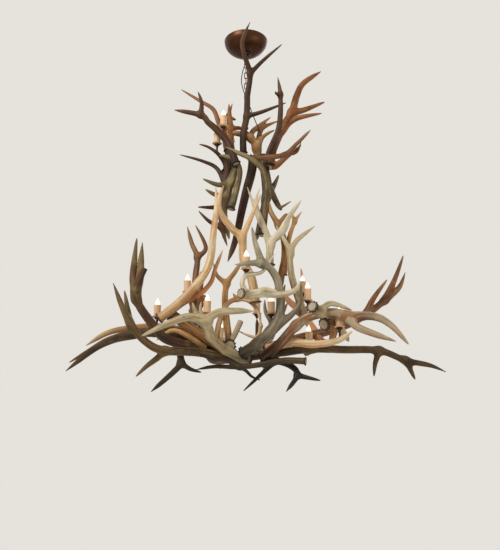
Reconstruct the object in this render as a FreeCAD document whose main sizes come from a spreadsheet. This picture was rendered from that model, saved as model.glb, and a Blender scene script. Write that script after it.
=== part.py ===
"""Antler chandelier: a hanging light of interlocked shed antlers with candle lamps.

Millimetres, +Z up, +X to the right of the front view, +Y to the back.  The origin is the
centre of the ceiling plate on the face that meets the ceiling; all of the light hangs below.
Antlers are given as routes on a layout grid, as a maker would lay them out on squared paper:
each route runs from the butt of a beam to its tip.
"""
import FreeCAD, Part
import Sketcher
import math
import os

Vec = FreeCAD.Vector
os.makedirs("parts", exist_ok=True)
doc = FreeCAD.newDocument("AntlerChandelier")
sheet = doc.addObject("Spreadsheet::Sheet", "Sizes")

SIZES = {
    # ceiling plate: a flat bar with slots for the screws of a ceiling box
    "plate_length": 112, "plate_width": 24, "plate_thick": 3,
    "plate_screw_spacing": 88.9, "plate_screw_radius": 2.6,
    "nipple_radius": 5, "nipple_bore": 3.2, "nipple_into_stem": 12,
    "nut_radius": 10, "nut_thick": 5,
    # canopy: spun metal dish that hides the ceiling box
    "canopy_radius": 133, "canopy_depth": 85, "canopy_lip": 9, "canopy_flat": 38,
    "canopy_wall": 1.6, "canopy_gap": 0.5,
    # hanging loop: threaded stem with an eye and a slotted wire way
    "stem_radius": 20, "stem_top": 50, "stem_below_canopy": 12,
    "eye_ring_radius": 10.5, "eye_wire_radius": 3.2,
    "wireway_length": 19, "wireway_width": 11, "wireway_depth": 14, "wireway_back": 11,
    "collar_radius": 28, "collar_height": 9, "slide_clearance": 0.6,
    # chain: welded links of round wire
    "link_bend_radius": 9, "link_straight": 24, "link_wire_radius": 2.5, "link_count": 13,
    "link_clearance": 0.3,
    # hanger: closed eye on a screw with a washer, turned into the crown
    "hanger_ring_radius": 12, "hanger_wire_radius": 3.5, "hanger_shank_radius": 6,
    "hanger_washer_radius": 19, "hanger_washer_thick": 4, "hanger_washer_drop": 17,
    "hanger_screw_length": 26,
    # beam radii of the antlers, by kind
    "elk_heavy": 28, "elk": 25, "elk_light": 21.5, "deer_heavy": 19.5, "deer": 16,
    "tip_radius": 3, "burr_ratio": 1.32, "layout_square": 5,
    # candle lamps
    "cup_radius": 17, "cup_height": 20, "cup_foot_radius": 8, "lamp_stem_radius": 6,
    "dish_radius": 29, "dish_thick": 3.5, "dish_rise": 5,
    "sleeve_radius": 20, "sleeve_wall": 2, "sleeve_height": 68,
    "holder_radius": 13, "holder_height": 60, "bulb_radius": 13, "bulb_height": 48,
    "bulb_base_radius": 7,
    # supply cord
    "cord_radius": 2.75,
}
for row, (alias, value) in enumerate(SIZES.items(), 1):
    sheet.set("A%d" % row, alias.replace("_", " "))
    sheet.set("B%d" % row, str(value))
    sheet.setAlias("B%d" % row, alias)
doc.recompute()


def size(alias):
    """A driving dimension, read from the sheet."""
    return float(sheet.get(alias))


nodes = []


def node(thing, name):
    """Names a finished piece; the label is also the name of its file."""
    thing.Label = name
    nodes.append(thing)
    return thing


def solid_of(kind, name, **bound):
    """A primitive with properties bound to expressions; z stands for Placement.Base.z."""
    thing = doc.addObject(kind, name)
    for prop, text in bound.items():
        path = "Placement.Base." + prop if prop in ("x", "y", "z") else prop
        thing.setExpression(path, text)
    return thing


def cut(name, base, *tools):
    """The base with the tools taken out of it."""
    result = doc.addObject("Part::Cut", name)
    result.Base = base
    if len(tools) == 1:
        result.Tool = tools[0]
    else:
        result.Tool = fuse(name + "_tools", *tools)
    return result


def fuse(name, *shapes):
    """One solid, or one set of solids, from several."""
    result = doc.addObject("Part::MultiFuse", name)
    result.Shapes = list(shapes)
    return result


def free_shape(name, shape):
    """A piece whose form follows a route, made with the geometry kernel's own functions."""
    thing = doc.addObject("Part::Feature", name)
    thing.Shape = shape
    return thing


# ---------------------------------------------------------------- ceiling plate, nipple and nut
plate_blank = solid_of("Part::Box", "plate_blank", Length="Sizes.plate_length",
                       Width="Sizes.plate_width", Height="Sizes.plate_thick",
                       x="-Sizes.plate_length / 2", y="-Sizes.plate_width / 2",
                       z="-Sizes.plate_thick")
plate_holes = [solid_of("Part::Cylinder", "plate_hole_%d" % side, Radius="Sizes.plate_screw_radius",
                        Height="3 * Sizes.plate_thick", z="-2 * Sizes.plate_thick",
                        x="%d * Sizes.plate_screw_spacing / 2" % side) for side in (-1, 1)]
plate_bore = solid_of("Part::Cylinder", "plate_bore", Radius="Sizes.nipple_radius",
                      Height="3 * Sizes.plate_thick", z="-2 * Sizes.plate_thick")
node(cut("ceiling_plate_cut", plate_blank, plate_bore, *plate_holes), "ceiling_plate")

nipple_rod = solid_of("Part::Cylinder", "nipple_rod", Radius="Sizes.nipple_radius",
                      Height="Sizes.stem_top + Sizes.nipple_into_stem",
                      z="-Sizes.stem_top - Sizes.nipple_into_stem")
nipple_hole = solid_of("Part::Cylinder", "nipple_hole", Radius="Sizes.nipple_bore",
                       Height="2 * (Sizes.stem_top + Sizes.nipple_into_stem)",
                       z="-1.5 * (Sizes.stem_top + Sizes.nipple_into_stem)")
node(cut("threaded_nipple_cut", nipple_rod, nipple_hole), "threaded_nipple")

nut_blank = solid_of("Part::Prism", "nut_blank", Circumradius="Sizes.nut_radius",
                     Height="Sizes.nut_thick", z="-Sizes.plate_thick - Sizes.nut_thick")
nut_blank.Polygon = 6
nut_hole = solid_of("Part::Cylinder", "nut_hole", Radius="Sizes.nipple_radius",
                    Height="3 * Sizes.nut_thick", z="-Sizes.plate_thick - 2 * Sizes.nut_thick")
node(cut("lock_nut_cut", nut_blank, nut_hole), "lock_nut")


def turned(name, outline):
    """A body turned about Z from a closed sketch, given as (radius, height) expressions."""
    body = doc.addObject("PartDesign::Body", name)
    plane = [f for f in body.Origin.OriginFeatures if f.Role == "XZ_Plane"][0]
    sketch = body.newObject("Sketcher::SketchObject", name + "_sketch")
    sketch.AttachmentSupport = [(plane, "")]
    sketch.MapMode = "FlatFace"
    count = len(outline)
    for k in range(count):
        angle = 2 * math.pi * k / count
        after = 2 * math.pi * (k + 1) / count
        sketch.addGeometry(Part.LineSegment(Vec(100 + 50 * math.cos(angle), 50 * math.sin(angle), 0),
                                            Vec(100 + 50 * math.cos(after), 50 * math.sin(after), 0)),
                           False)
    for k in range(count):
        sketch.addConstraint(Sketcher.Constraint("Coincident", k, 2, (k + 1) % count, 1))
    for k, (radius, height) in enumerate(outline):
        for kind, text in (("DistanceX", radius), ("DistanceY", height)):
            at = sketch.addConstraint(Sketcher.Constraint(kind, -1, 1, k, 1, 1.0))
            sketch.setExpression("Constraints[%d]" % at, text)
    turn = body.newObject("PartDesign::Revolution", name + "_turn")
    turn.Profile = sketch
    turn.ReferenceAxis = (sketch, ["V_Axis"])
    turn.Angle = 360
    return body


# ---------------------------------------------------------------- canopy and collar
def dome_point(turn, wall):
    """A point on the canopy's outer skin, or on its inner skin where wall is 1."""
    level, plumb = math.cos(math.radians(turn)), math.sin(math.radians(turn))
    radius = ("Sizes.canopy_flat + (Sizes.canopy_radius - Sizes.canopy_flat) * %.5f"
              " - %d * Sizes.canopy_wall * %.5f" % (level, wall, level))
    height = ("-Sizes.canopy_gap - Sizes.canopy_lip - (Sizes.canopy_depth - Sizes.canopy_lip) * %.5f"
              " + %d * Sizes.canopy_wall * %.5f" % (plumb, wall, plumb))
    return radius, height


canopy_hole = "Sizes.stem_radius + Sizes.slide_clearance"
canopy_foot = "-Sizes.canopy_gap - Sizes.canopy_depth"
dome_turns = [0, 18, 36, 54, 72, 90]
canopy_outline = [("Sizes.canopy_radius", "-Sizes.canopy_gap")]
canopy_outline += [dome_point(turn, 0) for turn in dome_turns]
canopy_outline += [(canopy_hole, canopy_foot), (canopy_hole, canopy_foot + " + Sizes.canopy_wall")]
canopy_outline += [dome_point(turn, 1) for turn in reversed(dome_turns)]
canopy_outline += [("Sizes.canopy_radius - Sizes.canopy_wall", "-Sizes.canopy_gap")]
node(turned("canopy_body", canopy_outline), "canopy")

collar_foot = canopy_foot + " - Sizes.collar_height"
node(turned("collar_body", [(canopy_hole, canopy_foot),
                            (canopy_hole, collar_foot),
                            ("Sizes.collar_radius - 0.2 * Sizes.collar_height", collar_foot),
                            ("Sizes.collar_radius", collar_foot + " + 0.25 * Sizes.collar_height"),
                            ("Sizes.collar_radius", canopy_foot)]), "canopy_collar")


# ---------------------------------------------------------------- faceted tubes on a route
def spline(points, steps):
    """Points along a smooth curve that passes through every given point."""
    padded = [points[0]] + list(points) + [points[-1]]
    out = []
    for k in range(1, len(padded) - 2):
        before, start, end, after = padded[k - 1:k + 3]
        for step in range(steps):
            t = step / steps
            out.append((start * 2 + (end - before) * t
                        + (before * 2 - start * 5 + end * 4 - after) * t ** 2
                        + (start * 3 - before - end * 3 + after) * t ** 3) * 0.5)
    return out + [points[-1]]


def facets(path, radii, sides, closed=False, start_side=None):
    """A solid of flat facets round a path, with one ring of corners at each of its points."""
    count = len(path)
    rings = []
    side_dir = start_side
    for k in range(count):
        if closed:
            along = path[(k + 1) % count] - path[k - 1]
        else:
            along = path[min(k + 1, count - 1)] - path[max(k - 1, 0)]
        along.normalize()
        if side_dir is None:
            side_dir = Vec(0, 0, 1) if abs(along.z) < 0.8 else Vec(1, 0, 0)
        side_dir = side_dir - along * side_dir.dot(along)
        side_dir.normalize()
        other = along.cross(side_dir)
        rings.append([path[k] + (side_dir * math.cos(2 * math.pi * n / sides)
                                 + other * math.sin(2 * math.pi * n / sides)) * radii[k]
                      for n in range(sides)])
    points = [corner for ring in rings for corner in ring]
    faces = []
    for k in range(count if closed else count - 1):
        for n in range(sides):
            here, there = k * sides, ((k + 1) % count) * sides
            a, b = here + n, here + (n + 1) % sides
            c, d = there + (n + 1) % sides, there + n
            faces += [(a, b, c), (a, c, d)]
    if not closed:
        last = (count - 1) * sides
        for n in range(1, sides - 1):
            faces += [(0, n + 1, n), (last, last + n, last + n + 1)]
    shape = Part.Shape()
    shape.makeShapeFromMesh((points, faces), 0.001)
    solid = Part.makeSolid(Part.Shell(shape.Faces))
    if solid.Volume < 0:
        solid.reverse()
    return solid


def ring_path(centre, radius, straight, across, steps):
    """A closed ring, or a racetrack, in the upright plane that holds the direction across."""
    path = []
    for half, rise in ((0, straight / 2), (1, -straight / 2)):
        for k in range(steps if straight else steps - 1):
            angle = math.pi * (half + k / (steps - 1))
            path.append(centre + across * (radius * math.cos(angle))
                        + Vec(0, 0, 1) * (radius * math.sin(angle) + rise))
    return path


# ---------------------------------------------------------------- hanging loop
stem_foot = -size("canopy_gap") - size("canopy_depth") - size("stem_below_canopy")
stem_blank = solid_of("Part::Cylinder", "stem_blank", Radius="Sizes.stem_radius",
                      Height="Sizes.canopy_gap + Sizes.canopy_depth + Sizes.stem_below_canopy"
                             " - Sizes.stem_top",
                      z="-Sizes.canopy_gap - Sizes.canopy_depth - Sizes.stem_below_canopy")
stem_socket = solid_of("Part::Cylinder", "stem_socket", Radius="Sizes.nipple_radius",
                       Height="2 * Sizes.nipple_into_stem",
                       z="-Sizes.stem_top - Sizes.nipple_into_stem")
wire_way = solid_of("Part::Box", "wire_way", Length="Sizes.wireway_length",
                    Width="Sizes.wireway_width", Height="2 * Sizes.wireway_depth",
                    x="-Sizes.wireway_length / 2",
                    y="-Sizes.wireway_back - Sizes.wireway_width / 2",
                    z="-Sizes.canopy_gap - Sizes.canopy_depth - Sizes.stem_below_canopy"
                      " - Sizes.wireway_depth")
eye_centre = stem_foot - size("eye_ring_radius") + 0.8 * size("eye_wire_radius")
eye_path = ring_path(Vec(0, 0, eye_centre), size("eye_ring_radius"), 0, Vec(1, 0, 0), 7)
eye = free_shape("loop_eye", facets(eye_path, [size("eye_wire_radius")] * len(eye_path), 6,
                                    closed=True, start_side=Vec(0, 1, 0)))
stem = cut("stem_bored", stem_blank, stem_socket, wire_way)
node(fuse("hanging_loop_fused", stem, eye), "hanging_loop")

# ---------------------------------------------------------------- chain and hanger
wire = size("link_wire_radius")
link_height = 2 * size("link_bend_radius") + size("link_straight")
link_pitch = link_height - 2 * wire - size("link_clearance")
eye_seat = eye_centre - size("eye_ring_radius") + size("eye_wire_radius")
first_link_top = eye_seat + wire + size("link_clearance")


def link(number):
    """One welded link; each hangs in the one above, a quarter turn round from it."""
    across = Vec(0, 1, 0) if number % 2 == 0 else Vec(1, 0, 0)
    flat = Vec(1, 0, 0) if number % 2 == 0 else Vec(0, 1, 0)
    centre = Vec(0, 0, first_link_top - number * link_pitch - link_height / 2)
    path = ring_path(centre, size("link_bend_radius"), size("link_straight"), across, 5)
    return facets(path, [wire] * len(path), 5, closed=True, start_side=flat)


link_count = int(size("link_count"))
node(free_shape("first_link", link(0)), "top_link")
node(free_shape("other_links", Part.makeCompound([link(k) for k in range(1, link_count)])), "chain")

last_seat = first_link_top - (link_count - 1) * link_pitch - link_height + wire
hanger_top = last_seat + size("hanger_wire_radius") + size("link_clearance")
hanger_centre = hanger_top - size("hanger_ring_radius")
hanger_foot = hanger_centre - size("hanger_ring_radius")
washer_z = hanger_foot - size("hanger_washer_drop")
hanger_across = Vec(1, 0, 0) if link_count % 2 else Vec(0, 1, 0)
hanger_flat = Vec(0, 1, 0) if link_count % 2 else Vec(1, 0, 0)
hanger_path = ring_path(Vec(0, 0, hanger_centre), size("hanger_ring_radius"), 0, hanger_across, 7)
hanger_ring = facets(hanger_path, [size("hanger_wire_radius")] * len(hanger_path), 6,
                     closed=True, start_side=hanger_flat)
shank_foot = washer_z - size("hanger_washer_thick") - size("hanger_screw_length")
hanger_shank = Part.makeCylinder(size("hanger_shank_radius"), hanger_foot - shank_foot,
                                 Vec(0, 0, shank_foot))
hanger_washer = Part.makeCylinder(size("hanger_washer_radius"), size("hanger_washer_thick"),
                                  Vec(0, 0, washer_z - size("hanger_washer_thick")))
hanger = hanger_ring.fuse([hanger_shank, hanger_washer])
node(free_shape("hanger_shape", hanger), "hanger_eye")

# ---------------------------------------------------------------- supply cord
CORD_POINTS = [Vec(0, -10.5, -92), Vec(-1.5, -16.5, -122), Vec(-7, -17, -178), Vec(-22, -18, -226),
               Vec(-30, -18, -290), Vec(-17, -20, -352), Vec(5, -22, -416), Vec(29, -20, -478),
               Vec(49, -10, -536), Vec(76, 12, -592), Vec(97, 24, -644)]


def rounded_route(points):
    """Straight runs joined by tangent arcs, each as large as its two runs allow."""
    edges = []
    start = points[0]
    for before, corner, after in zip(points, points[1:], points[2:]):
        back, ahead = before - corner, after - corner
        reach = 0.45 * min(back.Length, ahead.Length)
        half_turn = (math.pi - back.getAngle(ahead)) / 2
        print("cord radius %.0f mm" % (reach / math.tan(half_turn)))
        back.normalize()
        ahead.normalize()
        first, last = corner + back * reach, corner + ahead * reach
        inward = back + ahead
        inward.normalize()
        radius = reach / math.tan(half_turn)
        middle = corner + inward * (radius / math.cos(half_turn) - radius)
        edges.append(Part.LineSegment(start, first).toShape())
        edges.append(Part.Arc(first, middle, last).toShape())
        start = last
    edges.append(Part.LineSegment(start, points[-1]).toShape())
    return Part.Wire(edges)


cord_route = rounded_route(CORD_POINTS)
cord_end = Part.Wire(Part.makeCircle(size("cord_radius"), CORD_POINTS[0],
                                     CORD_POINTS[1] - CORD_POINTS[0]))
cord = cord_route.makePipeShell([cord_end], True, False)
cord_volume = math.pi * size("cord_radius") ** 2 * cord_route.Length
print("cord length %.0f mm, volume ratio %.4f" % (cord_route.Length, cord.Volume / cord_volume))
node(free_shape("supply_cord_shape", cord), "supply_cord")

# ---------------------------------------------------------------- antlers
square = size("layout_square")
ANTLERS = {}


def antler(name, kind, beam, *tines):
    """Notes one antler: the route of its beam, and for each tine the number of the beam point
    that it grows from and the points that it passes through."""
    ANTLERS[name] = (kind, [Vec(*p) * square for p in beam],
                     [(at, [Vec(*p) * square for p in route]) for at, route in tines])


antler("grey_centre", "elk_heavy",
       [(-3, -15, -398), (13, -30, -389), (26, -40, -379), (36, -47, -362), (37, -50, -340),
        (32, -54, -321), (18, -62, -310), (-11, -72, -314)],
       (6, [(11, -59, -287), (7, -63, -269)]),
       (2, [(47, -48, -364), (58, -51, -350), (59, -56, -331)]),
       (1, [(23, -30, -380), (28, -33, -368), (22, -27, -354), (21, -25, -340)]))
antler("pale_front", "elk_heavy",
       [(4, -5, -405), (-22, -25, -395), (-37, -44, -384), (-41, -53, -371), (-28, -61, -363),
        (-9, -69, -363), (9, -79, -366)],
       (3, [(-59, -61, -368), (-79, -71, -377), (-103, -87, -393)]),
       (3, [(-51, -53, -363), (-56, -53, -350)]),
       (1, [(-13, -11, -378), (-5, -9, -360)]),
       (2, [(-37, -37, -376), (-41, -39, -367), (-48, -35, -355), (-48, -32, -344)]))
antler("right_arch", "elk_heavy",
       [(19, -7, -401), (37, -27, -389), (54, -45, -373), (71, -57, -365), (91, -66, -364),
        (104, -73, -370), (115, -79, -383), (150, -89, -399)],
       (5, [(130, -79, -371), (146, -87, -382), (161, -95, -403)]),
       (2, [(63, -29, -359), (69, -16, -346), (80, -7, -339)]))
antler("left_big", "elk_heavy",
       [(-11, 6, -397), (-50, -14, -391), (-70, -25, -389), (-88, -32, -383), (-102, -38, -367),
        (-117, -43, -343), (-113, -47, -323), (-111, -55, -284)],
       (5, [(-121, -48, -320), (-117, -56, -279)]))
antler("pale_level", "elk_light",
       [(-5, -71, -345), (3, -63, -344), (15, -61, -342), (29, -58, -343), (44, -56, -341),
        (54, -56, -336), (58, -58, -327)],
       (2, [(20, -66, -339), (33, -70, -342)]),
       (1, [(-3, -63, -333), (1, -60, -322), (18, -59, -318), (31, -58, -298)]))
antler("long_arch", "elk",
       [(-94, -30, -363), (-76, -34, -350), (-60, -38, -335), (-45, -40, -316), (-38, -41, -297),
        (-35, -43, -268), (-32, -46, -239), (-33, -50, -217)])
antler("centre_fork", "elk",
       [(11, -20, -343), (7, -24, -317), (-2, -29, -296), (-4, -34, -272), (-14, -38, -263),
        (-28, -44, -245), (-29, -49, -230), (-24, -54, -217)],
       (3, [(6, -38, -249), (17, -45, -224)]))
antler("tall_front", "deer_heavy",
       [(-3, 0, -153), (-3, -4, -130), (1, -10, -109), (2, -17, -85), (5, -27, -62), (-2, -41, -44),
        (-4, -51, -32), (5, -61, -14)],
       (2, [(19, -15, -106), (48, -21, -97)]),
       (4, [(21, -31, -46), (43, -40, -30)]))
antler("right_elk", "elk",
       [(-5, 2, -399), (38, -11, -396), (72, -18, -393), (107, -23, -395), (143, -29, -397),
        (170, -32, -408), (195, -35, -414), (211, -36, -421)],
       (4, [(138, -31, -411), (136, -31, -425)]),
       (5, [(174, -30, -415), (180, -28, -428)]),
       (2, [(67, -6, -396), (71, 4, -390), (84, 10, -382)]))
antler("right_under", "elk",
       [(23, -9, -392), (48, -28, -388), (73, -44, -393), (96, -59, -392), (110, -68, -384)])
antler("left_outer", "elk",
       [(-3, -2, -404), (-48, -29, -399), (-83, -55, -402), (-100, -66, -396), (-116, -74, -380),
        (-127, -79, -357), (-135, -82, -337)],
       (4, [(-122, -66, -359), (-127, -60, -339)]),
       (2, [(-91, -51, -409), (-102, -49, -417), (-113, -49, -428)]))
antler("left_far_high", "elk",
       [(-33, -3, -385), (-62, 0, -372), (-96, 0, -365), (-127, 2, -366), (-154, 3, -371),
        (-179, 7, -385)])
antler("left_far_low", "elk",
       [(-26, 4, -393), (-62, -2, -382), (-94, -9, -375), (-123, -11, -376), (-160, -9, -388),
        (-197, -3, -415)],
       (3, [(-148, -17, -382), (-170, -21, -396), (-189, -23, -409)]))
antler("wide_fork", "elk_light",
       [(64, -26, -365), (61, -21, -346), (54, -23, -324), (50, -28, -307), (50, -30, -289),
        (57, -32, -274), (77, -35, -258)],
       (4, [(43, -32, -273), (34, -33, -257)]))
antler("light_fork", "elk_light",
       [(27, -27, -302), (28, -28, -278), (37, -31, -267), (44, -36, -255), (52, -39, -243),
        (62, -43, -230)],
       (1, [(20, -28, -253), (12, -31, -229), (16, -36, -213)]),
       (1, [(17, -26, -252), (7, -31, -225), (2, -37, -212)]),
       (2, [(43, -34, -263), (48, -37, -256)]))
antler("grey_swoop", "elk_light",
       [(18, -25, -266), (23, -25, -225), (24, -25, -203), (19, -26, -185), (6, -26, -172),
        (-9, -25, -164), (-23, -26, -157)])
antler("right_lit", "elk_heavy",
       [(27, -7, -174), (32, -5, -150), (43, -2, -123), (56, 3, -97), (63, 8, -71), (72, 13, -51),
        (95, 20, -30)],
       (3, [(70, 1, -95), (96, -3, -86)]),
       (2, [(60, -11, -113), (90, -21, -111)]),
       (0, [(36, -7, -172), (46, -12, -165), (65, -20, -152)]))
antler("burr_centre", "elk",
       [(15, 8, -166), (13, 5, -144), (5, 1, -132), (-7, 1, -127), (-24, 6, -122)],
       (1, [(21, 6, -128), (35, 4, -120)]),
       (2, [(9, 10, -118), (19, 20, -104), (31, 30, -89)]),
       (1, [(20, 18, -112), (41, 30, -94)]))
antler("right_broken", "deer_heavy",
       [(21, -6, -180), (28, -11, -156), (38, -16, -132), (41, -20, -112), (41, -26, -89),
        (38, -31, -69)],
       (4, [(36, -32, -91), (35, -35, -90)]))
antler("left_dark", "elk_light",
       [(-11, -24, -178), (-20, -22, -152), (-33, -23, -135), (-44, -25, -125), (-53, -26, -116),
        (-84, -31, -112)],
       (4, [(-52, -30, -102), (-56, -36, -91)]))
antler("right_reach", "deer",
       [(5, -24, -170), (21, -23, -169), (45, -24, -166), (60, -25, -152), (76, -28, -136)],
       (2, [(59, -20, -161), (65, -18, -147)]))
antler("olive_thick", "elk",
       [(-10, -18, -180), (-17, -17, -197), (-22, -12, -214), (-25, -5, -232), (-19, 3, -261)],
       (2, [(-36, -18, -213), (-46, -26, -210)]),
       (1, [(-31, -22, -203), (-49, -28, -198)]))
antler("reddish", "elk_light",
       [(37, -3, -325), (40, -8, -308), (44, -16, -288), (43, -20, -269), (37, -23, -253),
        (28, -24, -235), (24, -26, -217)],
       (4, [(45, -15, -238), (49, -9, -234)]))
antler("burr_right", "elk",
       [(68, -80, -361), (78, -67, -364), (94, -52, -371), (105, -37, -380), (112, -22, -386)],
       (1, [(88, -73, -356), (110, -71, -363)]))
antler("burr_low", "elk_heavy",
       [(81, -63, -376), (90, -54, -372), (94, -41, -379), (91, -29, -389)])
antler("right_high", "elk_heavy",
       [(18, -3, -392), (61, 10, -376), (108, 22, -361), (140, 30, -344), (164, 35, -325),
        (182, 40, -309), (192, 45, -288)],
       (5, [(178, 34, -297), (188, 32, -271)]),
       (3, [(148, 24, -327), (165, 20, -304)]))
antler("dark_fork_left", "elk_light",
       [(-55, 0, -378), (-60, 9, -353), (-59, 13, -328), (-58, 16, -300), (-57, 20, -277),
        (-64, 22, -259), (-70, 25, -237)],
       (4, [(-47, 16, -266), (-59, 9, -241)]),
       (2, [(-64, 5, -333), (-69, -3, -331)]))
antler("tan_fork", "elk_light",
       [(-17, -3, -392), (-21, -5, -361), (-23, -8, -336), (-21, -8, -317), (-12, -7, -303),
        (-3, -5, -288)],
       (3, [(-32, -14, -309), (-36, -20, -296)]))
antler("ring_arch", "deer",
       [(-33, -5, -385), (-29, -7, -361), (-21, -10, -342), (-9, -12, -336), (4, -15, -339),
        (14, -16, -351), (17, -16, -367)],
       (3, [(-14, -18, -331)]),
       (6, [(12, -12, -379), (-8, -6, -371)]))
antler("short_arch", "deer",
       [(-87, -27, -359), (-68, -29, -345), (-50, -30, -335), (-38, -31, -322), (-33, -34, -307),
        (-25, -38, -287)])
antler("drop_right", "deer_heavy",
       [(19, -7, -407), (33, -22, -407), (48, -38, -415), (54, -46, -426), (42, -54, -444)],
       (3, [(64, -50, -429), (77, -56, -433)]),
       (1, [(19, -18, -419), (-2, -13, -438)]))
antler("drop_fork", "elk_light",
       [(-39, -3, -390), (-69, -11, -392), (-70, -15, -408), (-78, -22, -420), (-99, -30, -441)],
       (2, [(-60, -11, -414), (-48, -7, -417)]))
antler("low_black", "deer",
       [(63, -55, -413), (39, -47, -411), (18, -36, -413), (-6, -24, -414), (-33, -21, -413),
        (-53, -25, -417)],
       (3, [(1, -16, -417), (7, -16, -423), (16, -17, -427)]),
       (3, [(-21, -26, -407), (-37, -30, -406), (-52, -33, -401)]))
antler("lit_behind", "elk",
       [(86, 12, -382), (76, 19, -362), (63, 28, -340), (50, 33, -326), (36, 39, -306)],
       (2, [(67, 34, -307), (66, 38, -285)]),
       (2, [(66, 18, -329), (73, 12, -324)]))
antler("twin_right", "deer",
       [(43, -7, -307), (46, -11, -288), (49, -13, -267), (56, -16, -246), (64, -20, -235)],
       (3, [(53, -24, -239)]))
antler("thin_loop", "deer_heavy",
       [(-17, -22, -233), (-13, -21, -218), (-7, -21, -189), (-10, -21, -175), (-18, -21, -168),
        (-31, -23, -166)])
antler("left_upright", "elk_light",
       [(-17, -2, -183), (-18, 1, -148), (-18, 4, -120), (-20, 7, -98), (-21, 9, -82)],
       (2, [(-8, 11, -114), (5, 15, -120)]),
       (1, [(-25, 10, -128), (-33, 16, -106), (-41, 19, -84), (-58, 21, -71), (-82, 25, -53)]))
antler("right_olive", "deer_heavy",
       [(19, 5, -154), (25, -4, -181), (29, -10, -204), (34, -12, -217), (41, -14, -231)],
       (2, [(38, -14, -226), (42, -18, -228), (52, -22, -223)]))
antler("dark_left", "elk_light",
       [(-21, -3, -150), (-21, -4, -174), (-24, -4, -197), (-29, -6, -224), (-27, -6, -250),
        (-21, -6, -272)],
       (3, [(-41, -10, -226), (-55, -14, -227)]),
       (4, [(-42, -10, -243), (-54, -14, -232)]),
       (2, [(-34, -2, -174), (-51, -4, -165), (-78, -9, -159)]),
       (1, [(-27, -7, -165), (-34, -12, -158), (-44, -15, -152), (-55, -19, -150)]))
antler("back_dark", "elk_heavy",
       [(9, 7, -156), (7, 9, -173), (1, 11, -196), (-5, 13, -223), (-12, 15, -257),
        (-21, 18, -283)])


def turned_antler(name, source, degrees, shift=(0, 0, 0), mirrored=False):
    """Notes an antler on the unseen side with the form of one already laid out, turned about
    the upright axis and moved by some squares; a mirrored one is the other of a pair."""
    kind, beam, tines = ANTLERS[source]
    spin = FreeCAD.Rotation(Vec(0, 0, 1), degrees)

    def move(point):
        flipped = Vec(-point.x, point.y, point.z) if mirrored else point
        return spin.multVec(flipped) + Vec(*shift) * square

    ANTLERS[name] = (kind, [move(p) for p in beam], [(at, [move(p) for p in route])
                                                     for at, route in tines])


# Antlers half hidden by others, in the column and behind the left of the basket; like those of
# the unseen side they share nodes, as separate solids, since the file count is limited.
antler("inner_burr", "elk_heavy",
       [(-82, -24, -355), (-68, -21, -365), (-51, -20, -376), (-35, -17, -387), (-20, -14, -396),
        (-5, -9, -401)])
antler("inner_low", "deer",
       [(-43, -15, -392), (-63, -25, -380), (-76, -28, -375), (-86, -27, -378), (-96, -24, -385)])
antler("inner_column", "elk_heavy",
       [(21, 3, -158), (24, 6, -186), (24, 9, -208), (19, 11, -231), (11, 13, -262)],
       (2, [(33, 3, -194), (39, -3, -182)]))

# The unseen side: pairs of the antlers in front, behind the column.
antler("back_low_prop", "deer_heavy",
       [(9, 3, -394), (14, 21, -384), (14, 33, -366), (13, 36, -347)])
turned_antler("back_low_left", "left_far_high", -82, (-16, -30, -4))
turned_antler("back_low_right", "left_far_high", 82, (10, -30, -6), mirrored=True)
turned_antler("back_low_middle", "left_far_high", 84, (11, -20, -7), mirrored=True)
turned_antler("back_low_upper", "left_far_high", 80, (4, -8, 5), mirrored=True)
turned_antler("back_rising_left", "left_big", -86, (-4, -12, -4))
turned_antler("back_rising_right", "right_high", 66, (6, -14, 3))
turned_antler("back_rising_hub", "left_big", 140, (-4, -23, 7), mirrored=True)
turned_antler("back_rising_outer", "right_high", -52, (10, -5, -8), mirrored=True)
turned_antler("back_crown_left", "left_dark", -100, (-2, -15, 0))
turned_antler("back_crown_right", "right_broken", 150, (0, -14, 0))
GROUPS = ("inner", "back_low", "back_rising", "back_crown")

SIDES = {"beam": 6, "tine": 5}


def beam_radius(kind, along):
    """The radius of a beam at a share of its length: nearly even, then quickly to the tip."""
    return max(size("tip_radius"), size(kind) * (1 - along) ** 0.28)


def tine_radius(kind, along):
    """The radius of a tine, which tapers more evenly than a beam does."""
    return max(size("tip_radius"), 0.7 * size(kind) * (1 - along) ** 0.45)


def shares(path):
    """The share of the whole length at which each point of a path lies."""
    run = [0.0]
    for a, b in zip(path, path[1:]):
        run.append(run[-1] + a.distanceToPoint(b))
    return [r / run[-1] for r in run]


def antler_shape(kind, beam, tines):
    """The beam with its burr at the butt, joined with its tines."""
    path = spline(beam, 2)
    radii = [beam_radius(kind, share) for share in shares(path)]
    first = path[1] - path[0]
    first.normalize()
    burr = size(kind) * size("burr_ratio")
    path[1:1] = [path[0] + first * (0.5 * size(kind)), path[0] + first * (0.75 * size(kind))]
    radii[0] = burr * 0.93
    radii[1:1] = [burr, size(kind)]
    shape = facets(path, radii, SIDES["beam"])
    for at, route in tines:
        root = [beam[at]] + route
        path = spline(root, 2 if len(root) > 2 else 3)
        radii = [tine_radius(kind, share) for share in shares(path)]
        shape = shape.fuse(facets(path, radii, SIDES["tine"]))
    return shape


def station(name, at, tine=None):
    """A point on an antler: at 2.5 it lies halfway between the points 2 and 3 of the route."""
    kind, beam, tines = ANTLERS[name]
    route = beam if tine is None else [beam[tines[tine][0]]] + tines[tine][1]
    return spline(route, 20)[round(at * 20)]


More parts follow.
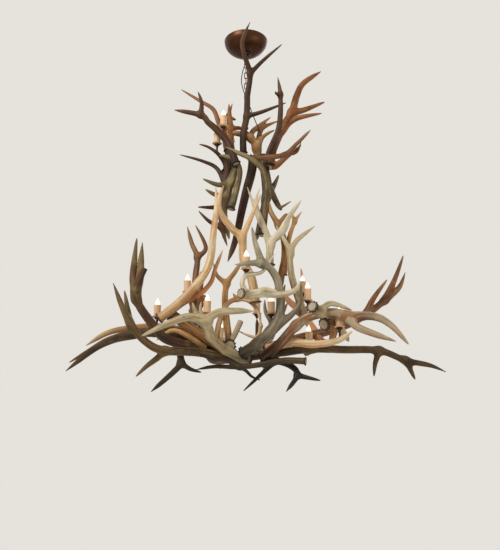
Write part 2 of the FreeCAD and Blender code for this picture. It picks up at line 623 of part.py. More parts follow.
# ---------------------------------------------------------------- candle lamps
# Each lamp stands on an antler: its name, the place along it, the tine or None for the beam,
# and how far the cup's foot is above the middle of the antler.
LAMPS = [("left_far_high", 2.1, None, 34), ("dark_fork_left", 1.4, 1, 18),
         ("pale_front", 2.0, 3, 20), ("pale_level", 2.0, 1, 10), ("grey_centre", 2.0, 2, 28),
         ("lit_behind", 1.0, 1, 18), ("right_arch", 2.0, 1, 14), ("right_elk", 2.0, 2, 12),
         ("right_under", 3.1, None, 44), ("left_dark", 1.5, None, 46), ("dark_left", 2.0, 3, 36),
         ("back_low_prop", 3.0, None, 4), ("back_low_left", 3.0, None, 34),
         ("back_crown_left", 1.5, None, 46)]


def faceted_loft(name, sides, rings):
    """A solid through level polygons, given as (height, radius) expressions."""
    sections = []
    for k, (height, radius) in enumerate(rings):
        polygon = doc.addObject("Part::RegularPolygon", "%s_ring_%d" % (name, k))
        polygon.Polygon = sides
        polygon.setExpression("Circumradius", radius)
        polygon.setExpression("Placement.Base.z", height)
        sections.append(polygon)
    loft = doc.addObject("Part::Loft", name)
    loft.Sections = sections
    loft.Solid = True
    loft.Ruled = True
    return loft


cup = faceted_loft("cup_master", 8, [
    ("0", "Sizes.cup_foot_radius"), ("0.3 * Sizes.cup_height", "Sizes.cup_foot_radius"),
    ("0.55 * Sizes.cup_height", "0.9 * Sizes.cup_radius"),
    ("Sizes.cup_height", "Sizes.cup_radius")])
dish_floor = "Sizes.cup_height + 0.4 * Sizes.dish_thick"
dish_blank = faceted_loft("dish_blank", 12, [
    ("Sizes.cup_height", "0.62 * Sizes.dish_radius"),
    ("Sizes.cup_height + Sizes.dish_rise - Sizes.dish_thick / 2", "Sizes.dish_radius"),
    ("Sizes.cup_height + Sizes.dish_rise", "Sizes.dish_radius")])
dish_hollow = faceted_loft("dish_hollow", 12, [
    (dish_floor, "0.75 * Sizes.dish_radius"),
    ("Sizes.cup_height + Sizes.dish_rise + 1", "0.95 * Sizes.dish_radius")])
dish = cut("dish_master", dish_blank, dish_hollow)
sleeve_outer = faceted_loft("sleeve_outer", 12, [
    (dish_floor, "Sizes.sleeve_radius"),
    (dish_floor + " + Sizes.sleeve_height", "Sizes.sleeve_radius")])
sleeve_inner = faceted_loft("sleeve_inner", 12, [
    (dish_floor + " - 1", "Sizes.sleeve_radius - Sizes.sleeve_wall"),
    (dish_floor + " + Sizes.sleeve_height + 1", "Sizes.sleeve_radius - Sizes.sleeve_wall")])
sleeve = cut("sleeve_master", sleeve_outer, sleeve_inner)
holder = faceted_loft("holder_master", 8, [
    (dish_floor, "Sizes.holder_radius"),
    (dish_floor + " + Sizes.holder_height", "Sizes.holder_radius")])
bulb_foot = dish_floor + " + Sizes.holder_height"
bulb = faceted_loft("bulb_master", 8, [
    (bulb_foot, "Sizes.bulb_base_radius"),
    (bulb_foot + " + 0.3 * Sizes.bulb_height", "Sizes.bulb_radius"),
    (bulb_foot + " + 0.5 * Sizes.bulb_height", "0.9 * Sizes.bulb_radius"),
    (bulb_foot + " + 0.75 * Sizes.bulb_height", "0.45 * Sizes.bulb_radius"),
    (bulb_foot + " + Sizes.bulb_height", "0.08 * Sizes.bulb_radius")])
doc.recompute()

lamp_seats = [station(name, at, tine) for name, at, tine, rise in LAMPS]
lamp_places = [seat + Vec(0, 0, lamp[3]) for seat, lamp in zip(lamp_seats, LAMPS)]


def at_every_lamp(master, name):
    """One copy of a lamp piece on each lamp's foot, as a node of separate solids."""
    copies = []
    for place in lamp_places:
        copy = master.Shape.copy()
        copy.translate(place)
        copies.append(copy)
    return node(free_shape(name + "_set", Part.makeCompound(copies)), name)


at_every_lamp(cup, "candle_cups")
at_every_lamp(dish, "drip_dishes")
at_every_lamp(sleeve, "candle_sleeves")
at_every_lamp(holder, "lamp_holders")
at_every_lamp(bulb, "flame_bulbs")
stems = [facets([seat, place], [size("lamp_stem_radius")] * 2, 6)
         for seat, place in zip(lamp_seats, lamp_places)]
node(free_shape("lamp_stem_set", Part.makeCompound(stems)), "lamp_stems")

# ---------------------------------------------------------------- coping the antlers
# Where antlers cross, the later one is notched to fit round the earlier one, so that they
# bear on each other face to face.  The hanger, the cord's end and the lamps are let in too.
set_in = [hanger, cord] + stems + [piece for thing in nodes
                                   if thing.Label in ("candle_cups", "drip_dishes", "candle_sleeves")
                                   for piece in thing.Shape.Solids]
placed = [(shape, shape.BoundBox) for shape in set_in]
grouped = {group: [] for group in GROUPS}
for name, (kind, beam, tines) in ANTLERS.items():
    shape = antler_shape(kind, beam, tines)
    box = shape.BoundBox
    near = [other for other, other_box in placed if box.intersect(other_box)]
    whole = shape.Volume
    if near:
        shape = shape.cut(near)
    pieces = sorted(shape.Solids, key=lambda piece: piece.Volume)
    shape = pieces[-1]
    lost = sum(piece.Volume for piece in pieces[:-1])
    if lost > 0.002 * whole:
        print("%s: %.1f %% falls off at a notch" % (name, 100 * lost / whole))
    placed.append((shape, shape.BoundBox))
    group = [group for group in GROUPS if name.startswith(group)]
    if group:
        grouped[group[0]].append(shape)
    else:
        node(free_shape(name + "_shape", shape), "antler_" + name)
for group, shapes in grouped.items():
    node(free_shape(group + "_shapes", Part.makeCompound(shapes)), "antlers_" + group)

# ---------------------------------------------------------------- checks and files
doc.recompute()
for thing in doc.Objects:
    if "Invalid" in thing.State or "Error" in thing.State:
        raise RuntimeError("%s is %s" % (thing.Label, thing.State))
for thing in nodes:
    shape = thing.Shape
    if shape.isNull() or not shape.isValid() or not shape.Solids:
        raise RuntimeError("%s has no valid solid" % thing.Label)
for thing in nodes:
    thing.Shape.exportStep("parts/%s.step" % thing.Label)
print("%d nodes" % len(nodes))
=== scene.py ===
"""The looks of an antler chandelier, built over its CAD solids in the same frame, in metres.

The script follows the light as it is put together, from the ceiling down: cord, canopy, hanging
loop, chain, crown hanger, the antlers from the crown to the underside, and the candle lamps.
"""
import math
import bmesh
import bpy
import numpy as np
from mathutils import Matrix, Vector


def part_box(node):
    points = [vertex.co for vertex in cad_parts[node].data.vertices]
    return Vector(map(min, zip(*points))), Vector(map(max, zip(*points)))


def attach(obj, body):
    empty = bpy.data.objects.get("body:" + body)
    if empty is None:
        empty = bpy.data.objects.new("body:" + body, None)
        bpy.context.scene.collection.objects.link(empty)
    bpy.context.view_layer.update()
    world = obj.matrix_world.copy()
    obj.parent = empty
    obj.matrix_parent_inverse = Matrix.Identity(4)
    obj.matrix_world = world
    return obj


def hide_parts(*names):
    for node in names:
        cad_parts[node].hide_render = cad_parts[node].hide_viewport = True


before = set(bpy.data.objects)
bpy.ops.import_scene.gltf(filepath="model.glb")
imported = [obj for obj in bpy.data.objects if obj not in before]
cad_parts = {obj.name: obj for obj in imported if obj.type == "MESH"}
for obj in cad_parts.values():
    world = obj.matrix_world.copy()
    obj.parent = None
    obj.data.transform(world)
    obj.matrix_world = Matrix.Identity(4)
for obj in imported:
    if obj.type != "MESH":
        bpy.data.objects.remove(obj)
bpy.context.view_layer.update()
scene = bpy.context.scene
scene.view_settings.view_transform = "Standard"
MM = 0.001


# -------- helpers
# What every piece needs: an object in the scene, a plain mesh, a tree of nodes, a material, and
# a way to put a finished piece in its place.
def adjust(thing, **settings):
    """The thing itself, with these of its properties set."""
    for prop, value in settings.items():
        setattr(thing, prop, value)
    return thing


def shown(name, data, **settings):
    """An object in the scene, with its mesh, curve, lamp or camera."""
    made = adjust(bpy.data.objects.new(name, data), **settings)
    scene.collection.objects.link(made)
    return made


def frozen(holder):
    """An object's plain mesh, with its modifiers applied; the object itself goes."""
    mesh = bpy.data.meshes.new_from_object(holder.evaluated_get(
        bpy.context.evaluated_depsgraph_get()))
    bpy.data.objects.remove(holder)
    return mesh


def finished(name, made):
    """The mesh of a bmesh, which it frees."""
    mesh = bpy.data.meshes.new(name)
    made.to_mesh(mesh)
    made.free()
    return mesh


def mark(mesh, label, values):
    """Gives each point of a mesh a number or a vector, for its material to read."""
    kind, field = ("FLOAT", "value") if values.ndim == 1 else ("FLOAT_VECTOR", "vector")
    mesh.attributes.new(label, kind, "POINT").data.foreach_set(
        field, values.astype(np.float32).ravel())


def colour(code):
    """A shader colour from the usual six figures."""
    parts = [int(code[k:k + 2], 16) / 255 for k in (0, 2, 4)]
    return [c / 12.92 if c <= 0.04045 else ((c + 0.055) / 1.055) ** 2.4 for c in parts] + [1]


class Nodes:
    """A tree under construction: its nodes are added one by one and linked by name."""
    prefix = "ShaderNode"

    def __init__(self, tree):
        self.tree = tree

    def add(self, kind, sockets=None, out=0, **settings):
        """An output of a new node with its properties set, and each socket given a value or
        another's output."""
        made = self.tree.nodes.new(kind if "Node" in kind else self.prefix + kind)
        adjust(made, **settings)
        for socket, value in (sockets or {}).items():
            if isinstance(value, bpy.types.NodeSocket):
                self.tree.links.new(value, made.inputs[socket])
            else:
                made.inputs[socket].default_value = value
        return made.outputs[out]

    def maths(self, operation, *values):
        """A number worked out from others."""
        return self.add("ShaderNodeMath", dict(enumerate(values)), operation=operation)


class Finish(Nodes):
    """A material under construction."""

    def __init__(self, name, **settings):
        self.material = bpy.data.materials.new(name)
        self.material.use_nodes = True
        super().__init__(self.material.node_tree)
        self.shader = self.tree.nodes["Principled BSDF"]
        for socket, value in settings.items():
            self.shader.inputs[socket.replace("_", " ")].default_value = value

    def where(self):
        """The place on the object."""
        return self.add("TexCoord", out="Object")

    def noise(self, where, scale, detail, roughness=0.5):
        """Clouds of noise, from 0 to 1."""
        return self.add("TexNoise", {"Vector": where, "Scale": scale, "Detail": detail,
                                     "Roughness": roughness}, "Fac")

    def ramp(self, factor, *stops):
        """A colour ramp of (place, colour code) stops."""
        made = self.add("ValToRGB", {"Fac": factor})
        bar = made.node.color_ramp.elements
        while len(bar) < len(stops):
            bar.new(0.5)
        for stop, (place, code) in zip(bar, stops):
            adjust(stop, position=place, color=colour(code))
        return made

    def ranged(self, value, low, high, start=0, end=1):
        """A value carried from the range start to end over to the range low to high."""
        return self.add("MapRange", {"Value": value, "From Min": start, "From Max": end,
                                     "To Min": low, "To Max": high}, "Result")

    def mixed(self, factor, first, second, how="MIX"):
        """Two colours mixed by a factor; a Mix node has its colours in sockets 6, 7 and 2."""
        return self.add("Mix", {0: factor, 6: first, 7: second}, 2, data_type="RGBA",
                        blend_type=how)

    def to_shader(self, **outputs):
        """Links outputs to the shader."""
        for socket, output in outputs.items():
            self.tree.links.new(output, self.shader.inputs[socket.replace("_", " ")])

    def bump(self, height, strength, depth):
        """Fine relief that is too small to be in the mesh."""
        self.to_shader(Normal=self.add("Bump", {"Height": height, "Strength": strength,
                                                "Distance": depth}))


def grained(name, scale, detail, dark, light, relief, **settings):
    """A plain material with a fine grain in its colour and its surface."""
    made = Finish(name, **settings)
    grain = made.noise(made.where(), scale, detail)
    made.to_shader(Base_Color=made.ramp(grain, (0.3, dark), (0.7, light)))
    made.bump(grain, relief, 0.0003)
    return made.material


def place(name, mesh, finish, body, slot, *nodes, smooth=True):
    """A finished piece: its material, the body it moves with and the nodes it stands for."""
    piece = shown(name, mesh)
    if finish:
        mesh.materials.append(finish)
    if smooth:
        mesh.shade_smooth()
    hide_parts(*nodes)
    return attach(piece, body)


def bent(name, route, kind, radius, roundness, closed=False):
    """A curve of round wire or cord along a route."""
    curve = adjust(bpy.data.curves.new(name, "CURVE"), dimensions="3D", bevel_depth=radius,
                   bevel_resolution=roundness, use_fill_caps=True)
    line = curve.splines.new(kind)
    line.points.add(len(route) - 1)
    for point, at in zip(line.points, route):
        point.co = (*at, 1)
    line.use_cyclic_u = closed
    return curve


# -------- camera
# The light was seen from below and in front, from about head height in a tall room.
LOOKS_UP = 16.17
lens = adjust(bpy.data.cameras.new("camera"), sensor_width=36, lens=49.35, clip_end=100)
scene.camera = shown("camera", lens, location=(0.025, -4.13, -2.72),
                     rotation_euler=(math.radians(90 + LOOKS_UP), 0, 0))

# -------- supply cord
# A round brown flex that leaves the wire way under the canopy, hangs in slow bends beside the
# chain and goes into the crown, where the wires run on inside the column of antlers.
CORD_POINTS = [(0, -0.0105, -0.092), (-0.0015, -0.0165, -0.122), (-0.007, -0.017, -0.178),
               (-0.022, -0.018, -0.226), (-0.03, -0.018, -0.29), (-0.017, -0.02, -0.352),
               (0.005, -0.022, -0.416), (0.029, -0.02, -0.478), (0.049, -0.01, -0.536),
               (0.076, 0.012, -0.592), (0.097, 0.024, -0.644)]
CORD_THICK = 0.0055
cord_curve = bent("supply_flex", CORD_POINTS, "NURBS", CORD_THICK / 2, 5)
cord_curve.resolution_u = 16
adjust(cord_curve.splines[0], order_u=3, use_endpoint_u=True)
cloth = Finish("cloth_covered_flex", Roughness=0.8)
weave = cloth.add("TexWave", {"Vector": cloth.where(), "Scale": 260, "Distortion": 1.5}, "Fac",
                  bands_direction="DIAGONAL")
cloth.to_shader(Base_Color=cloth.ramp(weave, (0.2, "2B2019"), (0.8, "4C3A2C")))
cloth.bump(weave, 0.5, 0.0004)
flex = place("supply_flex", cord_curve, cloth.material, "fixture", "brown_cord", "supply_cord",
             smooth=False)

# -------- floor and light
# A plain pale floor far below, and large soft lamps at a level that leaves colours as written.
FLOOR_LEVEL, FLOOR_RADIUS = -4.6, 14.0
round_floor = bmesh.new()
bmesh.ops.create_circle(round_floor, cap_ends=True, segments=128, radius=FLOOR_RADIUS,
                        matrix=Matrix.Translation((0, 0, FLOOR_LEVEL)))
stage_mesh = finished("floor", round_floor)
stage_mesh.materials.append(Finish("pale_floor", Roughness=0.9,
                                   Base_Color=colour("F1EEE9")).material)
shown("floor", stage_mesh)

scene.world = adjust(bpy.data.worlds.new("studio"), use_nodes=True)
sky = Nodes(scene.world.node_tree)
sky.tree.nodes.clear()
rays = sky.add("LightPath").node.outputs
plain = rays["Is Camera Ray"]
for ray in ("Is Glossy Ray", "Is Transmission Ray"):
    plain = sky.maths("MAXIMUM", plain, rays[ray])
soft = sky.add("Background", {"Color": (1, 0.985, 0.96, 1), "Strength": 0.38})
backdrop = sky.add("Background", {"Color": colour("E6E2DC")})
surroundings = sky.tree.nodes.new("ShaderNodeOutputWorld")
sky.tree.links.new(sky.add("MixShader", {0: plain, 1: soft, 2: backdrop}),
                   surroundings.inputs["Surface"])

for lamp_name, at, size, power in (("key", (-3.2, -3.6, 1.6), 1.8, 215),
                                   ("fill", (3.6, -2.8, -2.6), 2.6, 50),
                                   ("rim", (1.5, 4.0, 1.0), 2.5, 70)):
    aim = Vector((0, 0, -1.4)) - Vector(at)
    shown(lamp_name, adjust(bpy.data.lights.new(lamp_name, "AREA"), size=size, energy=power),
          location=at, rotation_euler=aim.to_track_quat("-Z", "Y").to_euler())


# -------- canopy and collar
# A spun steel dish with a rolled lip hides the ceiling box; a knurled collar holds it up.
# Both have a dark bronze finish, brushed round while the metal turned.
def lathe(name, outline, sides, unit=1):
    """A mesh turned about Z from (radius, height) points.  A radius of 0 closes a pole, and an
    outline that starts off the axis is closed to its first point."""
    made = bmesh.new()
    rings = []
    for radius, height in outline:
        turns = [math.tau * k / sides for k in range(sides)] if radius else [0]
        rings.append([made.verts.new((unit * radius * math.cos(t), unit * radius * math.sin(t),
                                      unit * height)) for t in turns])
    for low, high in zip(rings, rings[1:] + rings[:1] if outline[0][0] else rings[1:]):
        for k in range(sides):
            corners = dict.fromkeys((low[k % len(low)], low[(k + 1) % len(low)],
                                     high[(k + 1) % len(high)], high[k % len(high)]))
            if len(corners) > 2:
                made.faces.new(list(corners))
    bmesh.ops.recalc_face_normals(made, faces=made.faces)
    return finished(name, made)


def bronze(name, dark, light, streaks):
    """Dark bronze: brushed streaks, browner where hands and cloths have rubbed it."""
    made = Finish(name, Metallic=0.85)
    where = made.where()
    brush = made.noise(made.add("Mapping", {"Vector": where, "Scale": streaks}), 60, 4)
    patches = made.noise(where, 14, 3)
    rubbed = made.mixed(patches, made.ramp(brush, (0.3, dark), (0.7, light)), colour(dark))
    made.to_shader(Base_Color=rubbed, Roughness=made.ranged(brush, 0.28, 0.5))
    made.bump(brush, 0.25, 0.0004)
    return made.material


FLAT, REACH, BORE, SHEET = 0.038, 0.133, 0.0206, 0.0016
EDGE, SHOULDER, FOOT = -0.0005, -0.0095, -0.0855


def wall(depth):
    """The round wall of the dish from its shoulder down, at a depth inside its outer face."""
    return [(FLAT + (REACH - depth - FLAT) * math.cos(t),
             SHOULDER + (FOOT + depth - SHOULDER) * math.sin(t))
            for t in np.linspace(0.06, math.pi / 2, 22)]


canopy_bronze = bronze("canopy_bronze", "382012", "74492C", (1, 1, 14))
outline = [(REACH, EDGE), (0.1345, -0.003), (0.1345, -0.0065), (REACH, SHOULDER)] + wall(0)
outline += [(0.03, FOOT), (BORE, FOOT), (BORE, FOOT + SHEET), (0.03, FOOT + SHEET)]
outline += wall(SHEET)[::-1] + [(REACH - SHEET, SHOULDER), (REACH - SHEET, EDGE)]
place("bronze_canopy", lathe("canopy", outline, 128), canopy_bronze,
      "canopy", "dark_bronze", "canopy")

collar_foot, collar_top = (corner.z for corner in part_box("canopy_collar"))
collar = [(BORE, collar_top), (0.0265, collar_top), (0.028, collar_top - 0.0012),
          (0.028, collar_top - 0.0035), (0.0272, collar_top - 0.0042),
          (0.028, collar_top - 0.0049), (0.0278, collar_top - 0.0066),
          (0.0262, collar_foot + 0.0006), (0.0255, collar_foot), (BORE, collar_foot)]
place("knurled_collar", lathe("collar", collar, 96), canopy_bronze, "canopy",
      "dark_bronze", "canopy_collar")

# -------- ceiling plate, nipple and nut
# Zinc-plated steel, out of sight in the canopy; the solids are the real shapes already.
zinc = grained("zinc_plate", 180, 5, "A5A69E", "C9C8BE", 0.15, Metallic=1.0, Roughness=0.42)
for hidden in ("ceiling_plate", "threaded_nipple", "lock_nut"):
    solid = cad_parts[hidden]
    solid.data.materials.clear()
    solid.data.materials.append(zinc)


# -------- hanging loop
# A turned bronze stem with a slotted wire way in its foot, and a welded eye that takes the
# first link of the chain.
def eyelet(name, radius, height, wire):
    """A mesh of an upright ring of round wire that faces the front."""
    turns = [math.tau * k / 48 for k in range(48)]
    route = [(radius * math.cos(t), 0, height + radius * math.sin(t)) for t in turns]
    return frozen(shown(name, bent(name, route, "POLY", wire, 6, closed=True)))


def together(name, *meshes):
    """Several meshes as one, for pieces welded or pressed into each other."""
    joined = bmesh.new()
    for mesh in meshes:
        joined.from_mesh(mesh)
    return finished(name, joined)


loop_low, loop_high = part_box("hanging_loop")
EYE, EYE_WIRE, STEM_FOOT = 0.0105, 0.0032, -0.0975
stem = lathe("stem", [(0.005, loop_high.z), (0.0195, loop_high.z), (0.02, loop_high.z - 0.0005),
                      (0.02, STEM_FOOT + 0.0012), (0.0188, STEM_FOOT), (0, STEM_FOOT),
                      (0, -0.062), (0.005, -0.062)], 64)
slot_cutter = bmesh.new()
bmesh.ops.create_cube(slot_cutter, size=1, matrix=Matrix.Translation((0, -0.011, STEM_FOOT))
                      @ Matrix.Diagonal((0.019, 0.011, 0.028, 1)))
cutter = shown("wire_way", finished("wire_way", slot_cutter))
blank = shown("stem_blank", stem)
adjust(blank.modifiers.new("wire_way", "BOOLEAN"), operation="DIFFERENCE", object=cutter,
       solver="EXACT")
stem = frozen(blank)
bpy.data.objects.remove(cutter)
loop_bronze = bronze("loop_bronze", "2C1D13", "5F442E", (1, 1, 3))
loop_mesh = together("loop", stem, eyelet("eye", EYE, loop_low.z + EYE + EYE_WIRE, EYE_WIRE))
loop = place("stem_and_eye", loop_mesh, loop_bronze, "ceiling_mount", "dark_bronze",
             "hanging_loop")
adjust(loop.modifiers.new("crisp edges", "EDGE_SPLIT"), split_angle=math.radians(35))


# -------- chain
# Thirteen welded steel links, each a quarter turn round from the one it hangs in.  The first
# swings on its own in the eye, and the other twelve hang straight under the load.
class Growing(Nodes):
    """A Geometry Nodes tree under construction, with its named inputs; Finish is one of them."""
    prefix = "GeometryNode"

    def __init__(self, name, **inputs):
        super().__init__(bpy.data.node_groups.new(name, "GeometryNodeTree"))
        socket = self.tree.interface.new_socket
        socket("Geometry", in_out="INPUT", socket_type="NodeSocketGeometry")
        self.keys = {}
        for label, kind in {**inputs, "Finish": "Material"}.items():
            self.keys[label] = socket(label, in_out="INPUT",
                                      socket_type="NodeSocket" + kind).identifier
        socket("Geometry", in_out="OUTPUT", socket_type="NodeSocketGeometry")
        self.given = self.tree.nodes.new("NodeGroupInput").outputs
        self.exit = self.tree.nodes.new("NodeGroupOutput")

    def up(self, value):
        """A vector along Z."""
        return self.add("ShaderNodeCombineXYZ", {"Z": value})

    def end(self, geometry):
        """Ends the tree: real geometry, in its material."""
        real = self.add("RealizeInstances", {"Geometry": geometry})
        painted = self.add("SetMaterial", {"Geometry": real, "Material": self.given["Finish"]})
        self.tree.links.new(painted, self.exit.inputs[0])

    def grown(self, name, start, **values):
        """A plain mesh: what the tree makes from a start mesh with these values."""
        holder = shown(name, start)
        modifier = holder.modifiers.new(name, "NODES")
        modifier.node_group = self.tree
        for label, value in values.items():
            modifier[self.keys[label]] = value
        return frozen(holder)


links = Growing("links_down_a_chain", Bend="Float", Straight="Float", Wire="Float",
                Top="Float", Pitch="Float", First="Int", Count="Int")
given = links.given
bend = links.add("CurvePrimitiveCircle", {"Resolution": 40, "Radius": given["Bend"]})
upright = links.add("Transform", {"Geometry": bend, "Rotation": (math.pi / 2, 0, math.pi / 2)})
level = links.add("ShaderNodeSeparateXYZ", {0: links.add("InputPosition")}, "Z")
half = links.maths("MULTIPLY", links.maths("SIGN", level), given["Straight"])
stretch = links.maths("MULTIPLY", half, 0.5)
racetrack = links.add("SetPosition", {"Geometry": upright, "Offset": links.up(stretch)})
wire = links.add("CurvePrimitiveCircle", {"Resolution": 12, "Radius": given["Wire"]})
welded = links.add("CurveToMesh", {"Curve": racetrack, "Profile Curve": wire})
drop = links.maths("MULTIPLY", given["Pitch"], -1.0)
row = links.add("MeshLine", {"Count": given["Count"], "Start Location": links.up(given["Top"]),
                             "Offset": links.up(drop)})
number = links.maths("ADD", links.add("InputIndex"), given["First"])
quarter = links.maths("MULTIPLY", links.maths("MODULO", number, 2.0), math.pi / 2)
links.end(links.add("InstanceOnPoints", {"Points": row, "Instance": welded,
                                         "Rotation": links.up(quarter)}))

PITCH = 0.0367
FIRST_LINK = -0.10994 - 0.021
chain_bronze = bronze("chain_bronze", "2A1B11", "5A4029", (3, 3, 1))
nothing = bpy.data.meshes.new("nothing")
for name, first, count, body, node in (("first_link", 0, 1, "top_link", "top_link"),
                                       ("twelve_links", 1, 12, "fixture", "chain")):
    place(name, links.grown(name, nothing, Bend=0.009, Straight=0.024, Wire=0.0025, Pitch=PITCH,
                            Top=FIRST_LINK - PITCH * first, First=first, Count=count,
                            Finish=chain_bronze), None, body, "dark_bronze", node)

# -------- crown hanger
# A forged eye on a screw with a broad washer, turned down into the uppermost antlers.
RING, RING_WIRE, NECK, WASHER = 0.012, 0.0035, 0.017, 0.004
hanger_foot, hanger_top = (corner.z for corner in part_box("hanger_eye"))
ring_centre = hanger_top - RING - RING_WIRE
washer_top = ring_centre - RING - NECK
shank = lathe("shank", [(0, ring_centre - 0.0105), (0.0045, ring_centre - 0.0105),
                        (0.006, ring_centre - 0.0145), (0.006, washer_top),
                        (0.0182, washer_top), (0.019, washer_top - 0.0008),
                        (0.019, washer_top - 0.0032), (0.0182, washer_top - WASHER),
                        (0.006, washer_top - WASHER), (0.006, hanger_foot + 0.002),
                        (0.0045, hanger_foot), (0, hanger_foot)], 40)
hanger = together("hanger", shank, eyelet("hanger_ring", RING, ring_centre, RING_WIRE))
place("hanger_and_washer", hanger, loop_bronze, "fixture", "dark_bronze", "hanger_eye")


# -------- antler finishes
# Shed antler: bone that weather and tree bark have stained, darkest in the grooves, darker near
# the butt, partly stain and partly painted shade of the crowded hub, and polished pale on the
# tips.  The finishes with dark tips paint shade on the tips instead.
def antler_finish(name, body, shade, tip, root, fade=0.62):
    """Grooved antler in four colours, read from the marks that each antler carries; it fades to
    the colour of the tips from a share of its length on."""
    made = Finish(name, Specular_IOR_Level=0.28)
    share, depth, face, burr = (made.add("Attribute", out="Fac", attribute_name=label)
                                for label in ("share", "groove", "cut_face", "burr"))
    grain = made.add("Attribute", out="Vector", attribute_name="grain")
    where = made.where()
    cloud = made.noise(where, 7, 4, 0.6)
    fine = made.noise(grain, 95, 6, 0.65)
    broad = made.noise(grain, 26, 3)
    blotch = made.ramp(cloud, (0.38, shade), (0.47, body), (0.56, body), (0.68, tip))
    streak = made.ramp(broad, (0.35, shade), (0.52, body), (0.75, tip))
    skin = made.mixed(0.38, blotch, streak)
    skin = made.mixed(made.ranged(depth, 0.65, 0, -1, 0.4), skin, colour(root))
    # Towards the tip the colour fades to the tip colour: pale polish on most finishes, painted
    # shade on the finishes with dark tips.
    tip_polish_and_shade = made.ranged(share, 0, 0.9, fade, fade + 0.33)
    skin = made.mixed(made.maths("MULTIPLY_ADD", tip_polish_and_shade, broad, -0.1), skin, colour(tip))
    # Darker over the first fifth of the length from the butt: partly the antler's own darker base,
    # partly painted shade where the butts crowd in the hub.
    skin = made.mixed(made.ranged(share, 0.75, 0, 0, 0.22), skin, colour(root))
    speck = made.ramp(fine, (0.3, "8C8C8C"), (0.6, "FFFFFF"))
    skin = made.mixed(0.55, skin, speck, "MULTIPLY")
    skin = made.mixed(burr, skin, colour("1E150E"))
    pores = made.add("TexVoronoi", {"Vector": where, "Scale": 420}, "Distance")
    bone = made.ramp(pores, (0.1, "5E4A36"), (0.5, "BFAE92"))
    made.to_shader(Base_Color=made.mixed(face, skin, bone),
                   Roughness=made.ranged(fine, 0.4, 0.75))
    made.bump(made.maths("ADD", fine, broad), 0.45, 0.0012)
    return made.material


FINISHES = {name: antler_finish(name, *look) for name, look in {
    # warm_cream is partly painted lamp light: paler and warmer, with a pale butt, for the antlers
    # that stand beside the candle lamps.
    "warm_cream": ("F2CC98", "C88F5A", "FBE9C6", "C2945C"),
    "ivory": ("E8D8B2", "B39B72", "FBF1DA", "8A7450"),
    "olive_cream": ("CDB68A", "957B50", "F0E3BE", "4A3720"),
    "tan": ("BC8852", "7E4F2A", "E4C38E", "4A2E17"),
    "ochre": ("D8A568", "A2713C", "F2D19A", "7C5129"),
    # lit_tan is tan with painted lamp light: paler and more orange, for antlers lit by the candle
    # lamps beside them.
    "lit_tan": ("E7A56E", "B46F3C", "F9D2A4", "AC7444"),
    "olive_brown": ("74592F", "3E2C16", "A58B56", "281B0C"),
    # Dark tips as painted shade, on tines that hang down under the basket.
    "smoked": ("6E5532", "38270F", "33230F", "30210F", 0.5),
    "brown": ("8E5C37", "52311A", "BE9A6E", "2F1B0D"),
    "brown_pale_tips": ("A87752", "6C4429", "D8CEA8", "3C2616", 0.36),
    # Its orange body is partly painted lamp light, and its darker tips partly painted shade.
    "red_brown": ("AC6E3C", "744722", "8C6038", "3C2612"),
    "grey_brown": ("877658", "523C2A", "D4CAAA", "241810", 0.3),
    "grey_olive": ("7E6843", "483722", "BBA878", "2B2114"),
    "dark_brown": ("553620", "2C1A0E", "8E6C46", "1A1009"),
    "dark_pale_tips": ("5A3A22", "2E1B0F", "A58C5A", "1A1009", 0.52),
    # Its black tips are painted shade, on tines that hang under the basket.
    "half_black": ("3E2E1A", "20160B", "171008", "66512C", 0.4),
    # Near black, painted shade: this antler hangs unlit under the hub.
    "near_black": ("261B11", "150E08", "2A1E12", "0D0905"),
}.items()}

# -------- how an antler is grown
# Each antler follows the route laid out for it on 5 mm squares, counted to the right, back and
# down from the middle of the ceiling plate: a beam from its butt to its tip, and tines that
# branch from numbered points of the beam.
SQUARE = 0.005
KINDS = {"elk_heavy": 0.028, "elk": 0.025, "elk_light": 0.0215, "deer_heavy": 0.0195,
         "deer": 0.016}
TINE_WIDTHS = {"tine": 0.71, "stout": 0.92, "sawn": 0.56}
STEP = 0.0045
GRAIN = 0.0034
THINNEST, SLIDE = 0.0028, 0.0025
WEB, FURROW, PEARL, BEAD, OVAL = 1.1, 0.0011, 0.0022, 0.003, 0.035
ROUTES = {}


def between(before, start, end, after, t):
    """A point on the smooth curve from start to end, which knows the points on either side."""
    return (start * 2 + (end - before) * t + (before * 2 - start * 5 + end * 4 - after) * t ** 2
            + (start * 3 - before - end * 3 + after) * t ** 3) * 0.5


def through(points, spacing):
    """A smooth curve that passes through every given point, sampled about evenly."""
    padded = np.array([points[0], *points, points[-1]], float)
    out = []
    for before, start, end, after in zip(padded, padded[1:], padded[2:], padded[3:]):
        count = max(2, int(np.linalg.norm(end - start) / spacing))
        t = np.linspace(0, 1, count, endpoint=False)[:, None]
        out.append(between(before, start, end, after, t))
    return np.vstack(out + [padded[-1:]])


def lengths(rows):
    """The length of each row of an array."""
    return np.linalg.norm(rows, axis=1)


def burr_swell(run, radius):
    """How much the burr stands out at each run from the butt, from 0 to 1."""
    return np.exp(-((run / radius - 0.28) / 0.22) ** 2)


